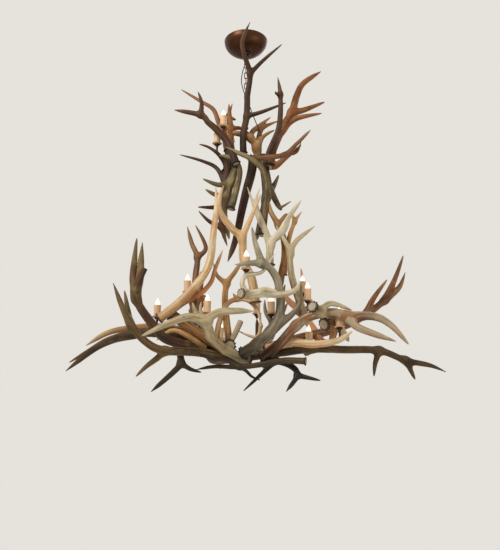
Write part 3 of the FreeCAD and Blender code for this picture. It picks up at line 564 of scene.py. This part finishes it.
class Branch:
    """A beam, a tine, a stout tine or one sawn short: its curve, its radius at each sample, and
    a frame that doesn't twist."""

    def __init__(self, points, radius, form):
        self.path = through(points, STEP)
        steps = lengths(np.diff(self.path, axis=0))
        self.run = np.concatenate([[0], np.cumsum(steps)])
        self.share = self.run / self.run[-1]
        left = 1 - self.share
        self.sawn = form == "sawn"
        if form == "beam":
            self.radius = 1.02 * radius * left ** 0.28 * np.minimum(1, left / 0.1) ** 0.4
            self.radius *= 1 + 0.28 * burr_swell(self.run, radius)
        else:
            self.radius = TINE_WIDTHS[form] * radius * left ** (0 if self.sawn else 0.45)
        self.radius = np.maximum(self.radius, THINNEST)
        self.along = np.gradient(self.path, axis=0)
        self.along /= lengths(self.along)[:, None]
        side = np.array([0.3, 1.0, 0.2])
        sides = []
        for direction in self.along:
            side = side - direction * (side @ direction)
            side /= np.linalg.norm(side)
            sides.append(side)
        self.side = np.array(sides)
        self.other = np.cross(self.along, self.side)
        self.swell = np.gradient(self.radius, self.run)

    def tube(self, made, sides=12):
        """A closed tube round the branch, added to a mesh under construction."""
        rings = []
        last = -1.0
        for k in range(len(self.path)):
            if self.run[k] - last < 0.008 and k < len(self.path) - 1 and self.run[k] > 0.04:
                continue
            last = self.run[k]
            turns = np.linspace(0, math.tau, sides, endpoint=False)
            corners = self.path[k] + self.radius[k] * (np.cos(turns)[:, None] * self.side[k]
                                                       + np.sin(turns)[:, None] * self.other[k])
            rings.append([made.verts.new(corner) for corner in corners])
        for low, high in zip(rings, rings[1:]):
            for k in range(sides):
                made.faces.new((low[k], low[(k + 1) % sides], high[(k + 1) % sides], high[k]))
        made.faces.new(rings[0][::-1])
        made.faces.new(rings[-1])

    def near(self, points):
        """For each point: its distance to the skin, the way out, and its place on the branch."""
        squares = (points ** 2).sum(1)[:, None] - 2 * points @ self.path.T
        nearest = (squares + (self.path ** 2).sum(1)[None]).argmin(1)
        off = points - self.path[nearest]
        slide = np.clip((off * self.along[nearest]).sum(1), -SLIDE, SLIDE)
        out = off - slide[:, None] * self.along[nearest]
        reach = lengths(out) + 1e-9
        radius = self.radius[nearest] + slide * self.swell[nearest]
        return reach - radius, out / reach[:, None], nearest, slide


def on_skin(branches, points, web):
    """Distance to the branches webbed smoothly together, the way out, and which is nearest."""
    depth, out, at, slide = branches[0].near(points)
    which = np.zeros(len(points), int)
    seam = np.zeros(len(points))
    for number, branch in enumerate(branches[1:], 1):
        other, way, spot, shift = branch.near(points)
        near = np.maximum(web - np.abs(depth - other), 0) / web
        closer = other < depth
        weight = np.where(closer, 1 - near / 2, near / 2)[:, None]
        out = out * (1 - weight) + way * weight
        depth = np.minimum(depth, other) - near ** 2 * web / 4
        at, slide = np.where(closer, spot, at), np.where(closer, shift, slide)
        which = np.where(closer, number, which)
        seam = np.maximum(seam * (1 - closer), near)
    out /= lengths(out)[:, None] + 1e-9
    return depth, out, which, at, slide, seam


def grow(name, kind, beam, tines, seed):
    """The mesh of one antler: webbed forks, a knobbly burr, pearls, grooves and marks."""
    radius = KINDS[kind]
    branches = [Branch(beam, radius, "beam")]
    branches += [Branch([beam[at]] + route, radius, form) for at, route, form in tines]
    rough = bmesh.new()
    for branch in branches:
        branch.tube(rough)
    holder = shown(name, finished(name, rough))
    adjust(holder.modifiers.new("one skin", "REMESH"), mode="VOXEL", voxel_size=GRAIN)
    skin = frozen(holder)
    points = np.empty(len(skin.vertices) * 3)
    skin.vertices.foreach_get("co", points)
    points = points.reshape(-1, 3)
    ends = [(branches[0].path[0], -branches[0].along[0], 1.6 * radius)]
    ends += [(branch.path[-1], branch.along[-1], 0.8 * radius)
             for branch in branches if branch.sawn]

    def at_an_end(depth_of_cut):
        """The points within a depth of one of the flat ends."""
        return np.any([((points - end) @ way > -depth_of_cut) & (lengths(points - end) < reach)
                       for end, way, reach in ends], axis=0)

    for again in range(3):
        depth, out, which, at, slide, seam = on_skin(branches, points, WEB * radius)
        points = points - out * np.where(at_an_end(0.0022), 0, depth)[:, None]
    depth, out, which, at, slide, seam = on_skin(branches, points, WEB * radius)
    run, share, thick, turn = (np.empty(len(points)) for kept in range(4))
    grain = np.empty((len(points), 3))
    for number, branch in enumerate(branches):
        here = which == number
        spots = at[here]
        run[here] = branch.run[spots] + slide[here]
        share[here] = branch.share[spots] * (0.7 if number else 1) + (0.3 if number else 0)
        if branch.sawn:
            share[here] = 0.3
        thick[here] = branch.radius[spots]
        across = (out[here] * branch.side[spots]).sum(1)
        beside = (out[here] * branch.other[spots]).sum(1)
        turn[here] = np.arctan2(beside, across)
        grain[here] = np.stack([across * branch.radius[spots], beside * branch.radius[spots],
                                (run[here] + 0.37 * number) * 0.10], 1)
    wander = 0.8 * np.sin(run * 21 + seed) + 0.5 * np.sin(run * 47 + 2 * seed)
    furrow = (np.cos(5 * turn + wander + seed) + 0.8 * np.cos(8 * turn - 1.6 * wander)
              + 0.6 * np.cos(13 * turn + 2.1 * wander + seed))
    furrow = np.clip(furrow / 2, -1, 1)
    body = np.clip((0.80 - share) / 0.3, 0, 1) * (1 - seam)
    body *= np.clip((thick - 0.005) / 0.008, 0, 1)
    knobs = (np.sin(points[:, 0] * 760 + seed) * np.sin(points[:, 1] * 810)
             * np.sin(points[:, 2] * 700 + seed))
    pearly = np.clip(1 - run / 0.16, 0, 1) * (which == 0) * (share < 0.9)
    crown = burr_swell(run, radius) * (which == 0)
    relief = FURROW * furrow * body + PEARL * np.maximum(knobs, 0) * pearly
    relief += BEAD * crown * np.cos(11 * turn + seed) * (1 + 0.5 * np.cos(4 * turn))
    relief += OVAL * thick * np.cos(2 * turn + 3 * run + seed) * (1 - seam)
    points = points + out * np.where(at_an_end(0.001), 0, relief)[:, None]
    from_axis = np.min([lengths(points - end) / reach for end, way, reach in ends], axis=0)
    skin.vertices.foreach_set("co", points.ravel())
    mark(skin, "share", share)
    mark(skin, "groove", furrow * body - 0.8 * crown)
    mark(skin, "cut_face", at_an_end(0.0028) * np.clip((0.56 - from_axis) / 0.06, 0, 1))
    mark(skin, "burr", 0.9 * np.clip(1.6 * crown - 0.2, 0, 1))
    mark(skin, "grain", grain + 0.31 * seed)
    skin.update()
    return skin


def on_squares(point):
    """The place of a point that is so many squares to the right, back and down."""
    right, back, down = point
    return SQUARE * Vector((right, back, -down))


def lay(name, kind, beam, *tines, put=on_squares):
    """Lays out an antler on the squares, or wherever put puts its points.  Each tine says the
    point of the beam that it leaves, then its own points, and its form if it isn't plain."""
    ROUTES[name] = (kind, [put(point) for point in beam],
                    [(at, [put(point) for point in route], *(form or ["tine"]))
                     for at, route, *form in tines])


def antler(name, kind, finish, tone, beam, *tines):
    """Lays out an antler, grows it and hangs it in its place."""
    lay(name, kind, beam, *tines)
    mesh = grow(name, *ROUTES[name], seed=len(ROUTES) * 1.7)
    place("antler_%02d_%s" % (len(ROUTES), name), mesh, FINISHES[finish], "fixture",
          "antler_" + tone, "antler_" + name)


# -------- antlers of the crown
# The uppermost antlers grip the hanger's screw between them and fan out below the chain.
# Their butts overlap those of the column and are bolted through, with the heads let in.
antler("tall_front", "deer_heavy", "dark_brown", "brown", [(-3, 0, 153), (-3, -4, 130),
    (1, -10, 109), (2, -17, 85), (5, -27, 62), (-2, -41, 44), (-4, -51, 32), (5, -61, 14)],
    (2, [(19, -15, 106), (48, -21, 97)]), (4, [(21, -31, 46), (43, -40, 30)]))
antler("right_lit", "elk_heavy", "red_brown", "tan", [(27, -7, 174), (32, -5, 150), (43, -2, 123),
    (56, 3, 97), (63, 8, 71), (72, 13, 51), (95, 20, 30)], (3, [(70, 1, 95), (96, -3, 86)]),
    (2, [(60, -11, 113), (90, -21, 111)]), (0, [(36, -7, 172), (46, -12, 165), (65, -20, 152)]))
antler("burr_centre", "elk", "tan", "tan", [(15, 8, 166), (13, 5, 144), (5, 1, 132), (-7, 1, 127),
    (-24, 6, 122)], (1, [(21, 6, 128), (35, 4, 120)]), (2, [(9, 10, 118), (19, 20, 104),
    (31, 30, 89)]), (1, [(20, 18, 112), (41, 30, 94)]))
antler("right_broken", "deer_heavy", "dark_brown", "dark", [(21, -6, 180), (28, -11, 156),
    (38, -16, 132), (41, -20, 112), (41, -26, 89), (38, -31, 69)], (4, [(36, -32, 91),
    (35, -35, 90)]))
antler("left_dark", "elk_light", "dark_brown", "dark", [(-11, -24, 178), (-20, -22, 152),
    (-33, -23, 135), (-44, -25, 125), (-53, -26, 116), (-84, -31, 112)], (4, [(-52, -30, 102),
    (-56, -36, 91)]))
antler("right_reach", "deer", "brown", "brown", [(5, -24, 170), (21, -23, 169), (45, -24, 166),
    (60, -25, 152), (76, -28, 136)], (2, [(59, -20, 161), (65, -18, 147)]))
antler("left_upright", "elk_light", "red_brown", "brown", [(-17, -2, 183), (-18, 1, 148),
    (-18, 4, 120), (-20, 7, 98), (-21, 9, 82)], (2, [(-8, 11, 114), (5, 15, 120)]),
    (1, [(-25, 10, 128), (-33, 16, 106), (-41, 19, 84), (-58, 21, 71), (-82, 25, 53)], "stout"))
antler("thin_loop", "deer_heavy", "grey_olive", "brown", [(-17, -22, 233), (-13, -21, 218),
    (-7, -21, 189), (-10, -21, 175), (-18, -21, 168), (-31, -23, 166)])

# -------- antlers of the column
# Upright antlers that carry the basket, tip to butt in two tiers.  The wires run up inside.
# Those near the lamps are pale cream, partly their own sun-bleached colour and partly painted lamp
# light, and those behind are dark, partly their own colour and partly painted shade.
antler("grey_swoop", "elk_light", "grey_olive", "brown", [(18, -25, 266), (23, -25, 225),
    (24, -25, 203), (19, -26, 185), (6, -26, 172), (-9, -25, 164), (-23, -26, 157)])
antler("olive_thick", "elk", "grey_olive", "brown", [(-10, -18, 180), (-17, -17, 197),
    (-22, -12, 214), (-25, -5, 232), (-19, 3, 261)], (2, [(-36, -18, 213), (-46, -26, 210)]),
    (1, [(-31, -22, 203), (-49, -28, 198)]))
antler("dark_left", "elk_light", "dark_brown", "dark", [(-21, -3, 150), (-21, -4, 174),
    (-24, -4, 197), (-29, -6, 224), (-27, -6, 250), (-21, -6, 272)], (3, [(-41, -10, 226),
    (-55, -14, 227)]), (4, [(-42, -10, 243), (-54, -14, 232)]), (2, [(-34, -2, 174),
    (-51, -4, 165), (-78, -9, 159)]), (1, [(-27, -7, 165), (-34, -12, 158), (-44, -15, 152),
    (-55, -19, 150)]))
antler("back_dark", "elk_heavy", "dark_brown", "dark", [(9, 7, 156), (7, 9, 173), (1, 11, 196),
    (-5, 13, 223), (-12, 15, 257), (-21, 18, 283)])
antler("right_olive", "deer_heavy", "grey_olive", "dark", [(19, 5, 154), (25, -4, 181),
    (29, -10, 204), (34, -12, 217), (41, -14, 231)], (2, [(38, -14, 226), (42, -18, 228),
    (52, -22, 223)]))
antler("light_fork", "elk_light", "ivory", "cream", [(27, -27, 302), (28, -28, 278),
    (37, -31, 267), (44, -36, 255), (52, -39, 243), (62, -43, 230)], (1, [(20, -28, 253),
    (12, -31, 229), (16, -36, 213)]), (1, [(17, -26, 252), (7, -31, 225), (2, -37, 212)]),
    (2, [(43, -34, 263), (48, -37, 256)]))
antler("reddish", "elk_light", "tan", "brown", [(37, -3, 325), (40, -8, 308), (44, -16, 288),
    (43, -20, 269), (37, -23, 253), (28, -24, 235), (24, -26, 217)], (4, [(45, -15, 238),
    (49, -9, 234)]))
antler("twin_right", "deer", "ochre", "tan", [(43, -7, 307), (46, -11, 288), (49, -13, 267),
    (56, -16, 246), (64, -20, 235)], (3, [(53, -24, 239)]))
antler("wide_fork", "elk_light", "olive_cream", "cream", [(64, -26, 365), (61, -21, 346),
    (54, -23, 324), (50, -28, 307), (50, -30, 289), (57, -32, 274), (77, -35, 258)],
    (4, [(43, -32, 273), (34, -33, 257)]))
antler("tan_fork", "elk_light", "ochre", "tan", [(-17, -3, 392), (-21, -5, 361), (-23, -8, 336),
    (-21, -8, 317), (-12, -7, 303), (-3, -5, 288)], (3, [(-32, -14, 309), (-36, -20, 296)]))
antler("dark_fork_left", "elk_light", "brown", "brown", [(-55, 0, 378), (-60, 9, 353),
    (-59, 13, 328), (-58, 16, 300), (-57, 20, 277), (-64, 22, 259), (-70, 25, 237)],
    (4, [(-47, 16, 266), (-59, 9, 241)]), (2, [(-64, 5, 333), (-69, -3, 331)]))
antler("centre_fork", "elk", "warm_cream", "cream", [(11, -20, 343), (7, -24, 317), (-2, -29, 296),
    (-4, -34, 272), (-14, -38, 263), (-28, -44, 245), (-29, -49, 230), (-24, -54, 217)],
    (3, [(6, -38, 249), (17, -45, 224)]))
antler("long_arch", "elk", "warm_cream", "cream", [(-94, -30, 363), (-76, -34, 350),
    (-60, -38, 335), (-45, -40, 316), (-38, -41, 297), (-35, -43, 268), (-32, -46, 239),
    (-33, -50, 217)])
antler("short_arch", "deer", "lit_tan", "cream", [(-87, -27, 359), (-68, -29, 345),
    (-50, -30, 335), (-38, -31, 322), (-33, -34, 307), (-25, -38, 287)])
antler("ring_arch", "deer", "warm_cream", "cream", [(-33, -5, 385), (-29, -7, 361),
    (-21, -10, 342), (-9, -12, 336), (4, -15, 339), (14, -16, 351), (17, -16, 367)],
    (3, [(-14, -18, 331)]), (6, [(12, -12, 379), (-8, -6, 371)]))

# -------- antlers of the basket
# The heaviest beams, laid like the ribs of a basket with their butts in the hub.  Three have
# their burrs turned to the front, with the pale cut bone showing inside the dark ring.
antler("grey_centre", "elk_heavy", "grey_brown", "brown", [(-3, -15, 398), (13, -30, 389),
    (26, -40, 379), (36, -47, 362), (37, -50, 340), (32, -54, 321), (18, -62, 310),
    (-11, -72, 314)], (6, [(11, -59, 287), (7, -63, 269)]), (2, [(47, -48, 364), (58, -51, 350),
    (59, -56, 331)]), (1, [(23, -30, 380), (28, -33, 368), (22, -27, 354), (21, -25, 340)]))
antler("pale_front", "elk_heavy", "olive_cream", "cream", [(4, -5, 405), (-22, -25, 395),
    (-37, -44, 384), (-41, -53, 371), (-28, -61, 363), (-9, -69, 363), (9, -79, 366)],
    (3, [(-59, -61, 368), (-79, -71, 377), (-103, -87, 393)], "stout"), (3, [(-51, -53, 363),
    (-56, -53, 350)]), (1, [(-13, -11, 378), (-5, -9, 360)], "sawn"), (2, [(-37, -37, 376),
    (-41, -39, 367), (-48, -35, 355), (-48, -32, 344)]))
antler("right_arch", "elk_heavy", "brown_pale_tips", "brown", [(19, -7, 401), (37, -27, 389),
    (54, -45, 373), (71, -57, 365), (91, -66, 364), (104, -73, 370), (115, -79, 383),
    (150, -89, 399)], (5, [(130, -79, 371), (146, -87, 382), (161, -95, 403)], "stout"),
    (2, [(63, -29, 359), (69, -16, 346), (80, -7, 339)]))
antler("left_big", "elk_heavy", "dark_pale_tips", "brown", [(-11, 6, 397), (-50, -14, 391),
    (-70, -25, 389), (-88, -32, 383), (-102, -38, 367), (-117, -43, 343), (-113, -47, 323),
    (-111, -55, 284)], (5, [(-121, -48, 320), (-117, -56, 279)]), (5, [(-115, -51, 331),
    (-111, -54, 321), (-107, -56, 313)], "sawn"))
antler("pale_level", "elk_light", "ivory", "cream", [(-5, -71, 345), (3, -63, 344), (15, -61, 342),
    (29, -58, 343), (44, -56, 341), (54, -56, 336), (58, -58, 327)], (2, [(20, -66, 339),
    (33, -70, 342)]), (1, [(-3, -63, 333), (1, -60, 322), (18, -59, 318), (31, -58, 298)]))
antler("right_elk", "elk", "smoked", "brown", [(-5, 2, 399), (38, -11, 396), (72, -18, 393),
    (107, -23, 395), (143, -29, 397), (170, -32, 408), (195, -35, 414), (211, -36, 421)],
    (4, [(138, -31, 411), (136, -31, 425)]), (5, [(174, -30, 415), (180, -28, 428)]),
    (2, [(67, -6, 396), (71, 4, 390), (84, 10, 382)]))
antler("right_under", "elk", "warm_cream", "cream", [(23, -9, 392), (48, -28, 388), (73, -44, 393),
    (96, -59, 392), (110, -68, 384)])
antler("left_outer", "elk", "olive_brown", "tan", [(-3, -2, 404), (-48, -29, 399), (-83, -55, 402),
    (-100, -66, 396), (-116, -74, 380), (-127, -79, 357), (-135, -82, 337)], (4, [(-122, -66, 359),
    (-127, -60, 339)]), (2, [(-91, -51, 409), (-102, -49, 417), (-113, -49, 428)]))
antler("left_far_high", "elk", "tan", "cream", [(-33, -3, 385), (-62, 0, 372), (-96, 0, 365),
    (-127, 2, 366), (-154, 3, 371), (-179, 7, 385)])
antler("left_far_low", "elk", "smoked", "cream", [(-26, 4, 393), (-62, -2, 382), (-94, -9, 375),
    (-123, -11, 376), (-160, -9, 388), (-197, -3, 415)], (3, [(-148, -17, 382), (-170, -21, 396),
    (-189, -23, 409)]))
antler("burr_right", "elk", "olive_cream", "tan", [(68, -80, 361), (78, -67, 364), (94, -52, 371),
    (105, -37, 380), (112, -22, 386)], (1, [(88, -73, 356), (110, -71, 363)]))
antler("burr_low", "elk_heavy", "tan", "tan", [(81, -63, 376), (90, -54, 372), (94, -41, 379),
    (91, -29, 389)])
antler("right_high", "elk_heavy", "brown", "brown", [(18, -3, 392), (61, 10, 376), (108, 22, 361),
    (140, 30, 344), (164, 35, 325), (182, 40, 309), (192, 45, 288)], (4, [(178, 34, 297),
    (188, 32, 271)]), (3, [(148, 24, 327), (165, 20, 304)]))
antler("lit_behind", "elk", "lit_tan", "tan", [(86, 12, 382), (76, 19, 362), (63, 28, 340),
    (50, 33, 326), (36, 39, 306)], (2, [(67, 34, 307), (66, 38, 285)]), (2, [(66, 18, 329),
    (73, 12, 324)]))

# -------- antlers of the underside
# Dark antlers crossed under the hub, with tines that hang below the basket; their dark colour
# and black tips are partly painted shade under the basket.
antler("low_black", "deer", "half_black", "dark", [(63, -55, 413), (39, -47, 411), (18, -36, 413),
    (-6, -24, 414), (-33, -21, 413), (-53, -25, 417)], (3, [(1, -16, 417), (7, -16, 423),
    (16, -17, 427)]), (3, [(-21, -26, 407), (-37, -30, 406), (-52, -33, 401)]))
antler("drop_right", "deer_heavy", "near_black", "dark", [(19, -7, 407), (33, -22, 407),
    (48, -38, 415), (54, -46, 426), (42, -54, 444)], (3, [(64, -50, 429), (77, -56, 433)]),
    (1, [(19, -18, 419), (-2, -13, 438)]))
antler("drop_fork", "elk_light", "half_black", "dark", [(-39, -3, 390), (-69, -11, 392),
    (-70, -15, 408), (-78, -22, 420), (-99, -30, 441)], (2, [(-60, -11, 414), (-48, -7, 417)]))


# -------- half hidden and at the back
# Antlers that share nodes: some half hidden by others, and those of the unseen side, which is
# laid out with pairs of the antlers in front, turned about the upright axis and moved.
SHARED = {"inner_burr": "tan", "inner_low": "ochre", "inner_column": "grey_olive",
          "back_low_prop": "dark_brown"}


def turned(name, finish, source, degrees, shift, mirrored=False):
    """Lays out an antler like one already laid out, turned, moved and perhaps mirrored."""
    SHARED[name] = finish
    kind, beam, tines = ROUTES[source]
    cos, sin = math.cos(math.radians(degrees)), math.sin(math.radians(degrees))

    def move(point):
        x, y, z = (-point.x if mirrored else point.x), point.y, point.z
        return Vector((cos * x - sin * y, sin * x + cos * y, z)) + SQUARE * Vector(shift)

    lay(name, kind, beam, *tines, put=move)


lay("inner_burr", "elk_heavy", [(-82, -24, 355), (-68, -21, 365), (-51, -20, 376), (-35, -17, 387),
    (-20, -14, 396), (-5, -9, 401)])
lay("inner_low", "deer", [(-43, -15, 392), (-63, -25, 380), (-76, -28, 375), (-86, -27, 378),
    (-96, -24, 385)])
lay("inner_column", "elk_heavy", [(21, 3, 158), (24, 6, 186), (24, 9, 208), (19, 11, 231),
    (11, 13, 262)], (2, [(33, 3, 194), (39, -3, 182)]))
lay("back_low_prop", "deer_heavy", [(9, 3, 394), (14, 21, 384), (14, 33, 366), (13, 36, 347)])
turned("back_low_left", "tan", "left_far_high", -82, (-16, -30, -4))
turned("back_low_right", "olive_brown", "left_far_high", 82, (10, -30, -6), mirrored=True)
turned("back_low_middle", "tan", "left_far_high", 84, (11, -20, -7), mirrored=True)
turned("back_low_upper", "brown", "left_far_high", 80, (4, -8, 5), mirrored=True)
turned("back_rising_left", "dark_brown", "left_big", -86, (-4, -12, -4))
turned("back_rising_right", "brown", "right_high", 66, (6, -14, 3))
turned("back_rising_hub", "red_brown", "left_big", 140, (-4, -23, 7), mirrored=True)
turned("back_rising_outer", "olive_brown", "right_high", -52, (10, -5, -8), mirrored=True)
turned("back_crown_left", "dark_brown", "left_dark", -100, (-2, -15, 0))
turned("back_crown_right", "brown", "right_broken", 150, (0, -14, 0))
for group in ("inner", "back_low", "back_rising", "back_crown"):
    holders = []
    for name in SHARED:
        if name.startswith(group):
            mesh = grow(name, *ROUTES[name], seed=1.7 * list(ROUTES).index(name))
            mesh.materials.append(FINISHES[SHARED[name]])
            holders.append(shown(name, mesh))
    with bpy.context.temp_override(active_object=holders[0], selected_editable_objects=holders,
                                   object=holders[0], selected_objects=holders):
        bpy.ops.object.join()
    joined = holders[0].data
    bpy.data.objects.remove(holders[0])
    place(group + "_group", joined, None, "fixture", "antler_brown", "antlers_" + group)

# -------- candle lamps
# Turned bronze cups on the antlers carry drip dishes and hand-dipped sleeves over plastic
# lamp holders, each with a clear flame-tip bulb.  A lamp's row says its antler, its place on
# the route, which tine it stands on, and how many millimetres its stem rises.
LAMPS = [("left_far_high", 2.1, None, 34), ("dark_fork_left", 1.4, 1, 18),
         ("pale_front", 2.0, 3, 20), ("pale_level", 2.0, 1, 10), ("grey_centre", 2.0, 2, 28),
         ("lit_behind", 1.0, 1, 18), ("right_arch", 2.0, 1, 14), ("right_elk", 2.0, 2, 12),
         ("right_under", 3.1, None, 44), ("left_dark", 1.5, None, 46), ("dark_left", 2.0, 3, 36),
         ("back_low_prop", 3.0, None, 4), ("back_low_left", 3.0, None, 34),
         ("back_crown_left", 1.5, None, 46)]


def station(name, at, tine=None):
    """A point on an antler: at 2.5 it lies halfway between the points 2 and 3 of the route."""
    kind, beam, tines = ROUTES[name]
    route = beam if tine is None else [beam[tines[tine][0]]] + tines[tine][1]
    padded = [route[0], *route, route[-1]]
    k = min(int(at), len(route) - 2)
    return between(*padded[k:k + 4], at - k)


seats = [station(*lamp[:3]) for lamp in LAMPS]
tops = [seat + Vector((0, 0, lamp[3] / 1000)) for seat, lamp in zip(seats, LAMPS)]
feet = bpy.data.meshes.new("lamp_feet")
feet.from_pydata(tops, [], [])

every = Growing("one_on_every_arm", Piece="Object", Seed="Int", Spin="Float")
spin = every.add("FunctionNodeRandomValue", {"Seed": every.given["Seed"], 3: every.given["Spin"]},
                 1, data_type="FLOAT")
model = every.add("ObjectInfo", {"Object": every.given["Piece"]}, "Geometry")
every.end(every.add("InstanceOnPoints", {"Points": every.given[0], "Instance": model,
                                         "Rotation": every.up(spin)}))


def on_every_arm(name, mesh, finish, slot, node, seed):
    """One copy of a lamp piece on each lamp's foot, each turned a different way."""
    model = shown(name + "_model", mesh)
    made = every.grown(name, feet.copy(), Piece=model, Seed=seed, Spin=math.tau, Finish=finish)
    bpy.data.objects.remove(model)
    place(name, made, None, "fixture", slot, node)


cup_bronze = bronze("cup_bronze", "3A261A", "6B4A30", (2, 2, 12))
cup = [(0, 0), (7.2, 0), (8, 1), (7.8, 4), (6.8, 5.5), (8.2, 7.5), (12.5, 10), (15.5, 13),
       (16.6, 16.5), (17, 19), (16.5, 20), (0, 20)]
on_every_arm("turned_cups", lathe("cup", cup, 40, unit=MM), cup_bronze, "aged_bronze",
             "candle_cups", 1)

wax = Finish("dipped_wax", Subsurface_Weight=0.12, Subsurface_Scale=0.01, Specular_IOR_Level=0.45)
wax_at = wax.where()
runs = wax.noise(wax.add("Mapping", {"Vector": wax_at, "Scale": (1, 1, 0.15)}), 130, 4)
dripped = wax.ramp(runs, (0.3, "D2A474"), (0.65, "F0D0A8"))
wax.to_shader(Base_Color=wax.mixed(wax.noise(wax_at, 22, 2), dripped, colour("DFB488")),
              Roughness=wax.ranged(runs, 0.35, 0.6))
wax.bump(runs, 0.5, 0.0012)
dish = [(0, 20.1), (17.6, 20.1), (23.5, 21.2), (27.5, 23.2), (28.9, 24.7), (28.8, 25.6),
        (28, 25.7), (26.2, 24), (22, 22.2), (20.5, 21.6), (0, 21.6)]
on_every_arm("drip_pans", lathe("dish", dish, 48, unit=MM), wax.material, "candle_wax",
             "drip_dishes", 2)

WAX_TOP, WAX_FOOT = 89.4, 21.5
rows = [(20, WAX_FOOT), (20.3, WAX_FOOT + 3), (19.9, WAX_FOOT + 8), (19.6, 45), (19.5, 60),
        (19.6, 72), (19.9, 80), (20.2, 86), (20, 88.5), (19.2, WAX_TOP), (18.4, 88.8),
        (18, 86.5), (18, WAX_FOOT)]
sleeve = lathe("sleeve", rows, 64, unit=MM)
for corner in sleeve.vertices:
    turn = math.atan2(corner.co.y, corner.co.x)
    if math.hypot(corner.co.x, corner.co.y) > 18.8 * MM:
        height = (corner.co.z / MM - WAX_FOOT) / (WAX_TOP - WAX_FOOT)
        runnel = max(0.0, math.cos(3 * turn + 0.7)) ** 6 + max(0.0, math.cos(5 * turn)) ** 10
        grow_out = 1 + 0.055 * runnel * max(0.0, min(1.0, (height - 0.35) / 0.3))
        corner.co.x *= grow_out
        corner.co.y *= grow_out
on_every_arm("dipped_sleeves", sleeve, wax.material, "candle_wax", "candle_sleeves", 3)

plastic = grained("holder_plastic", 300, 3, "C9BFA9", "DAD2BF", 0.2, Roughness=0.5)
holder = [(0, 21.4), (12.5, 21.4), (13, 22), (13, 78), (12.2, 79), (12.2, 80.8), (11.2, 81.4),
          (8.5, 81.4), (8, 80.6), (0, 80.6)]
on_every_arm("lamp_holder_set", lathe("holder", holder, 40, unit=MM), plastic, "holder_plastic",
             "lamp_holders", 4)

BULB_FOOT, BULB_TALL = 81.5, 48
glow = Finish("lit_bulb", Roughness=0.12, Emission_Strength=2.2)
height = glow.add("SeparateXYZ", {0: glow.add("Attribute", out="Vector",
                                              attribute_name="flame")}, "Z")
glow.to_shader(Base_Color=glow.ramp(height, (0, "E6DCC4"), (0.5, "FFF4DE")), Emission_Color=
               glow.ramp(height, (0, "FFDDB4"), (0.25, "FFF2DF"), (1, "FFFCF7")))
flame = [(0, BULB_FOOT), (7, BULB_FOOT), (7.4, 85), (8.8, 88.5), (11.2, 92.5), (12.7, 96.5),
         (12.9, 100), (12.2, 104), (10.4, 108.5), (8, 113), (5.5, 117.5), (3.4, 122),
         (1.9, 126), (0.8, 128.8), (0, 129.3)]
bulb = lathe("bulb", flame, 32, unit=MM)
tall = np.array([v.co for v in bulb.vertices])
tall[:, 2] = (tall[:, 2] / MM - BULB_FOOT) / BULB_TALL
mark(bulb, "flame", tall)
on_every_arm("flame_tip_bulbs", bulb, glow.material, "bulb_glass", "flame_bulbs", 5)

# Bronze stems from inside each antler up to its cup.
risers = Growing("stem_up_to_cup", Radius="Float")
profile = risers.add("CurvePrimitiveCircle", {"Resolution": 24, "Radius": risers.given["Radius"]})
risers.end(risers.add("CurveToMesh", {"Curve": risers.add("MeshToCurve", {0: risers.given[0]}),
                                      "Profile Curve": profile, "Fill Caps": True}))
lines = bpy.data.meshes.new("stem_lines")
lines.from_pydata([end for pair in zip(seats, tops) for end in pair],
                  [(2 * k, 2 * k + 1) for k in range(len(seats))], [])
place("stems_on_arms", risers.grown("stems_on_arms", lines, Radius=0.006, Finish=cup_bronze),
      None, "fixture", "aged_bronze", "lamp_stems", smooth=False)
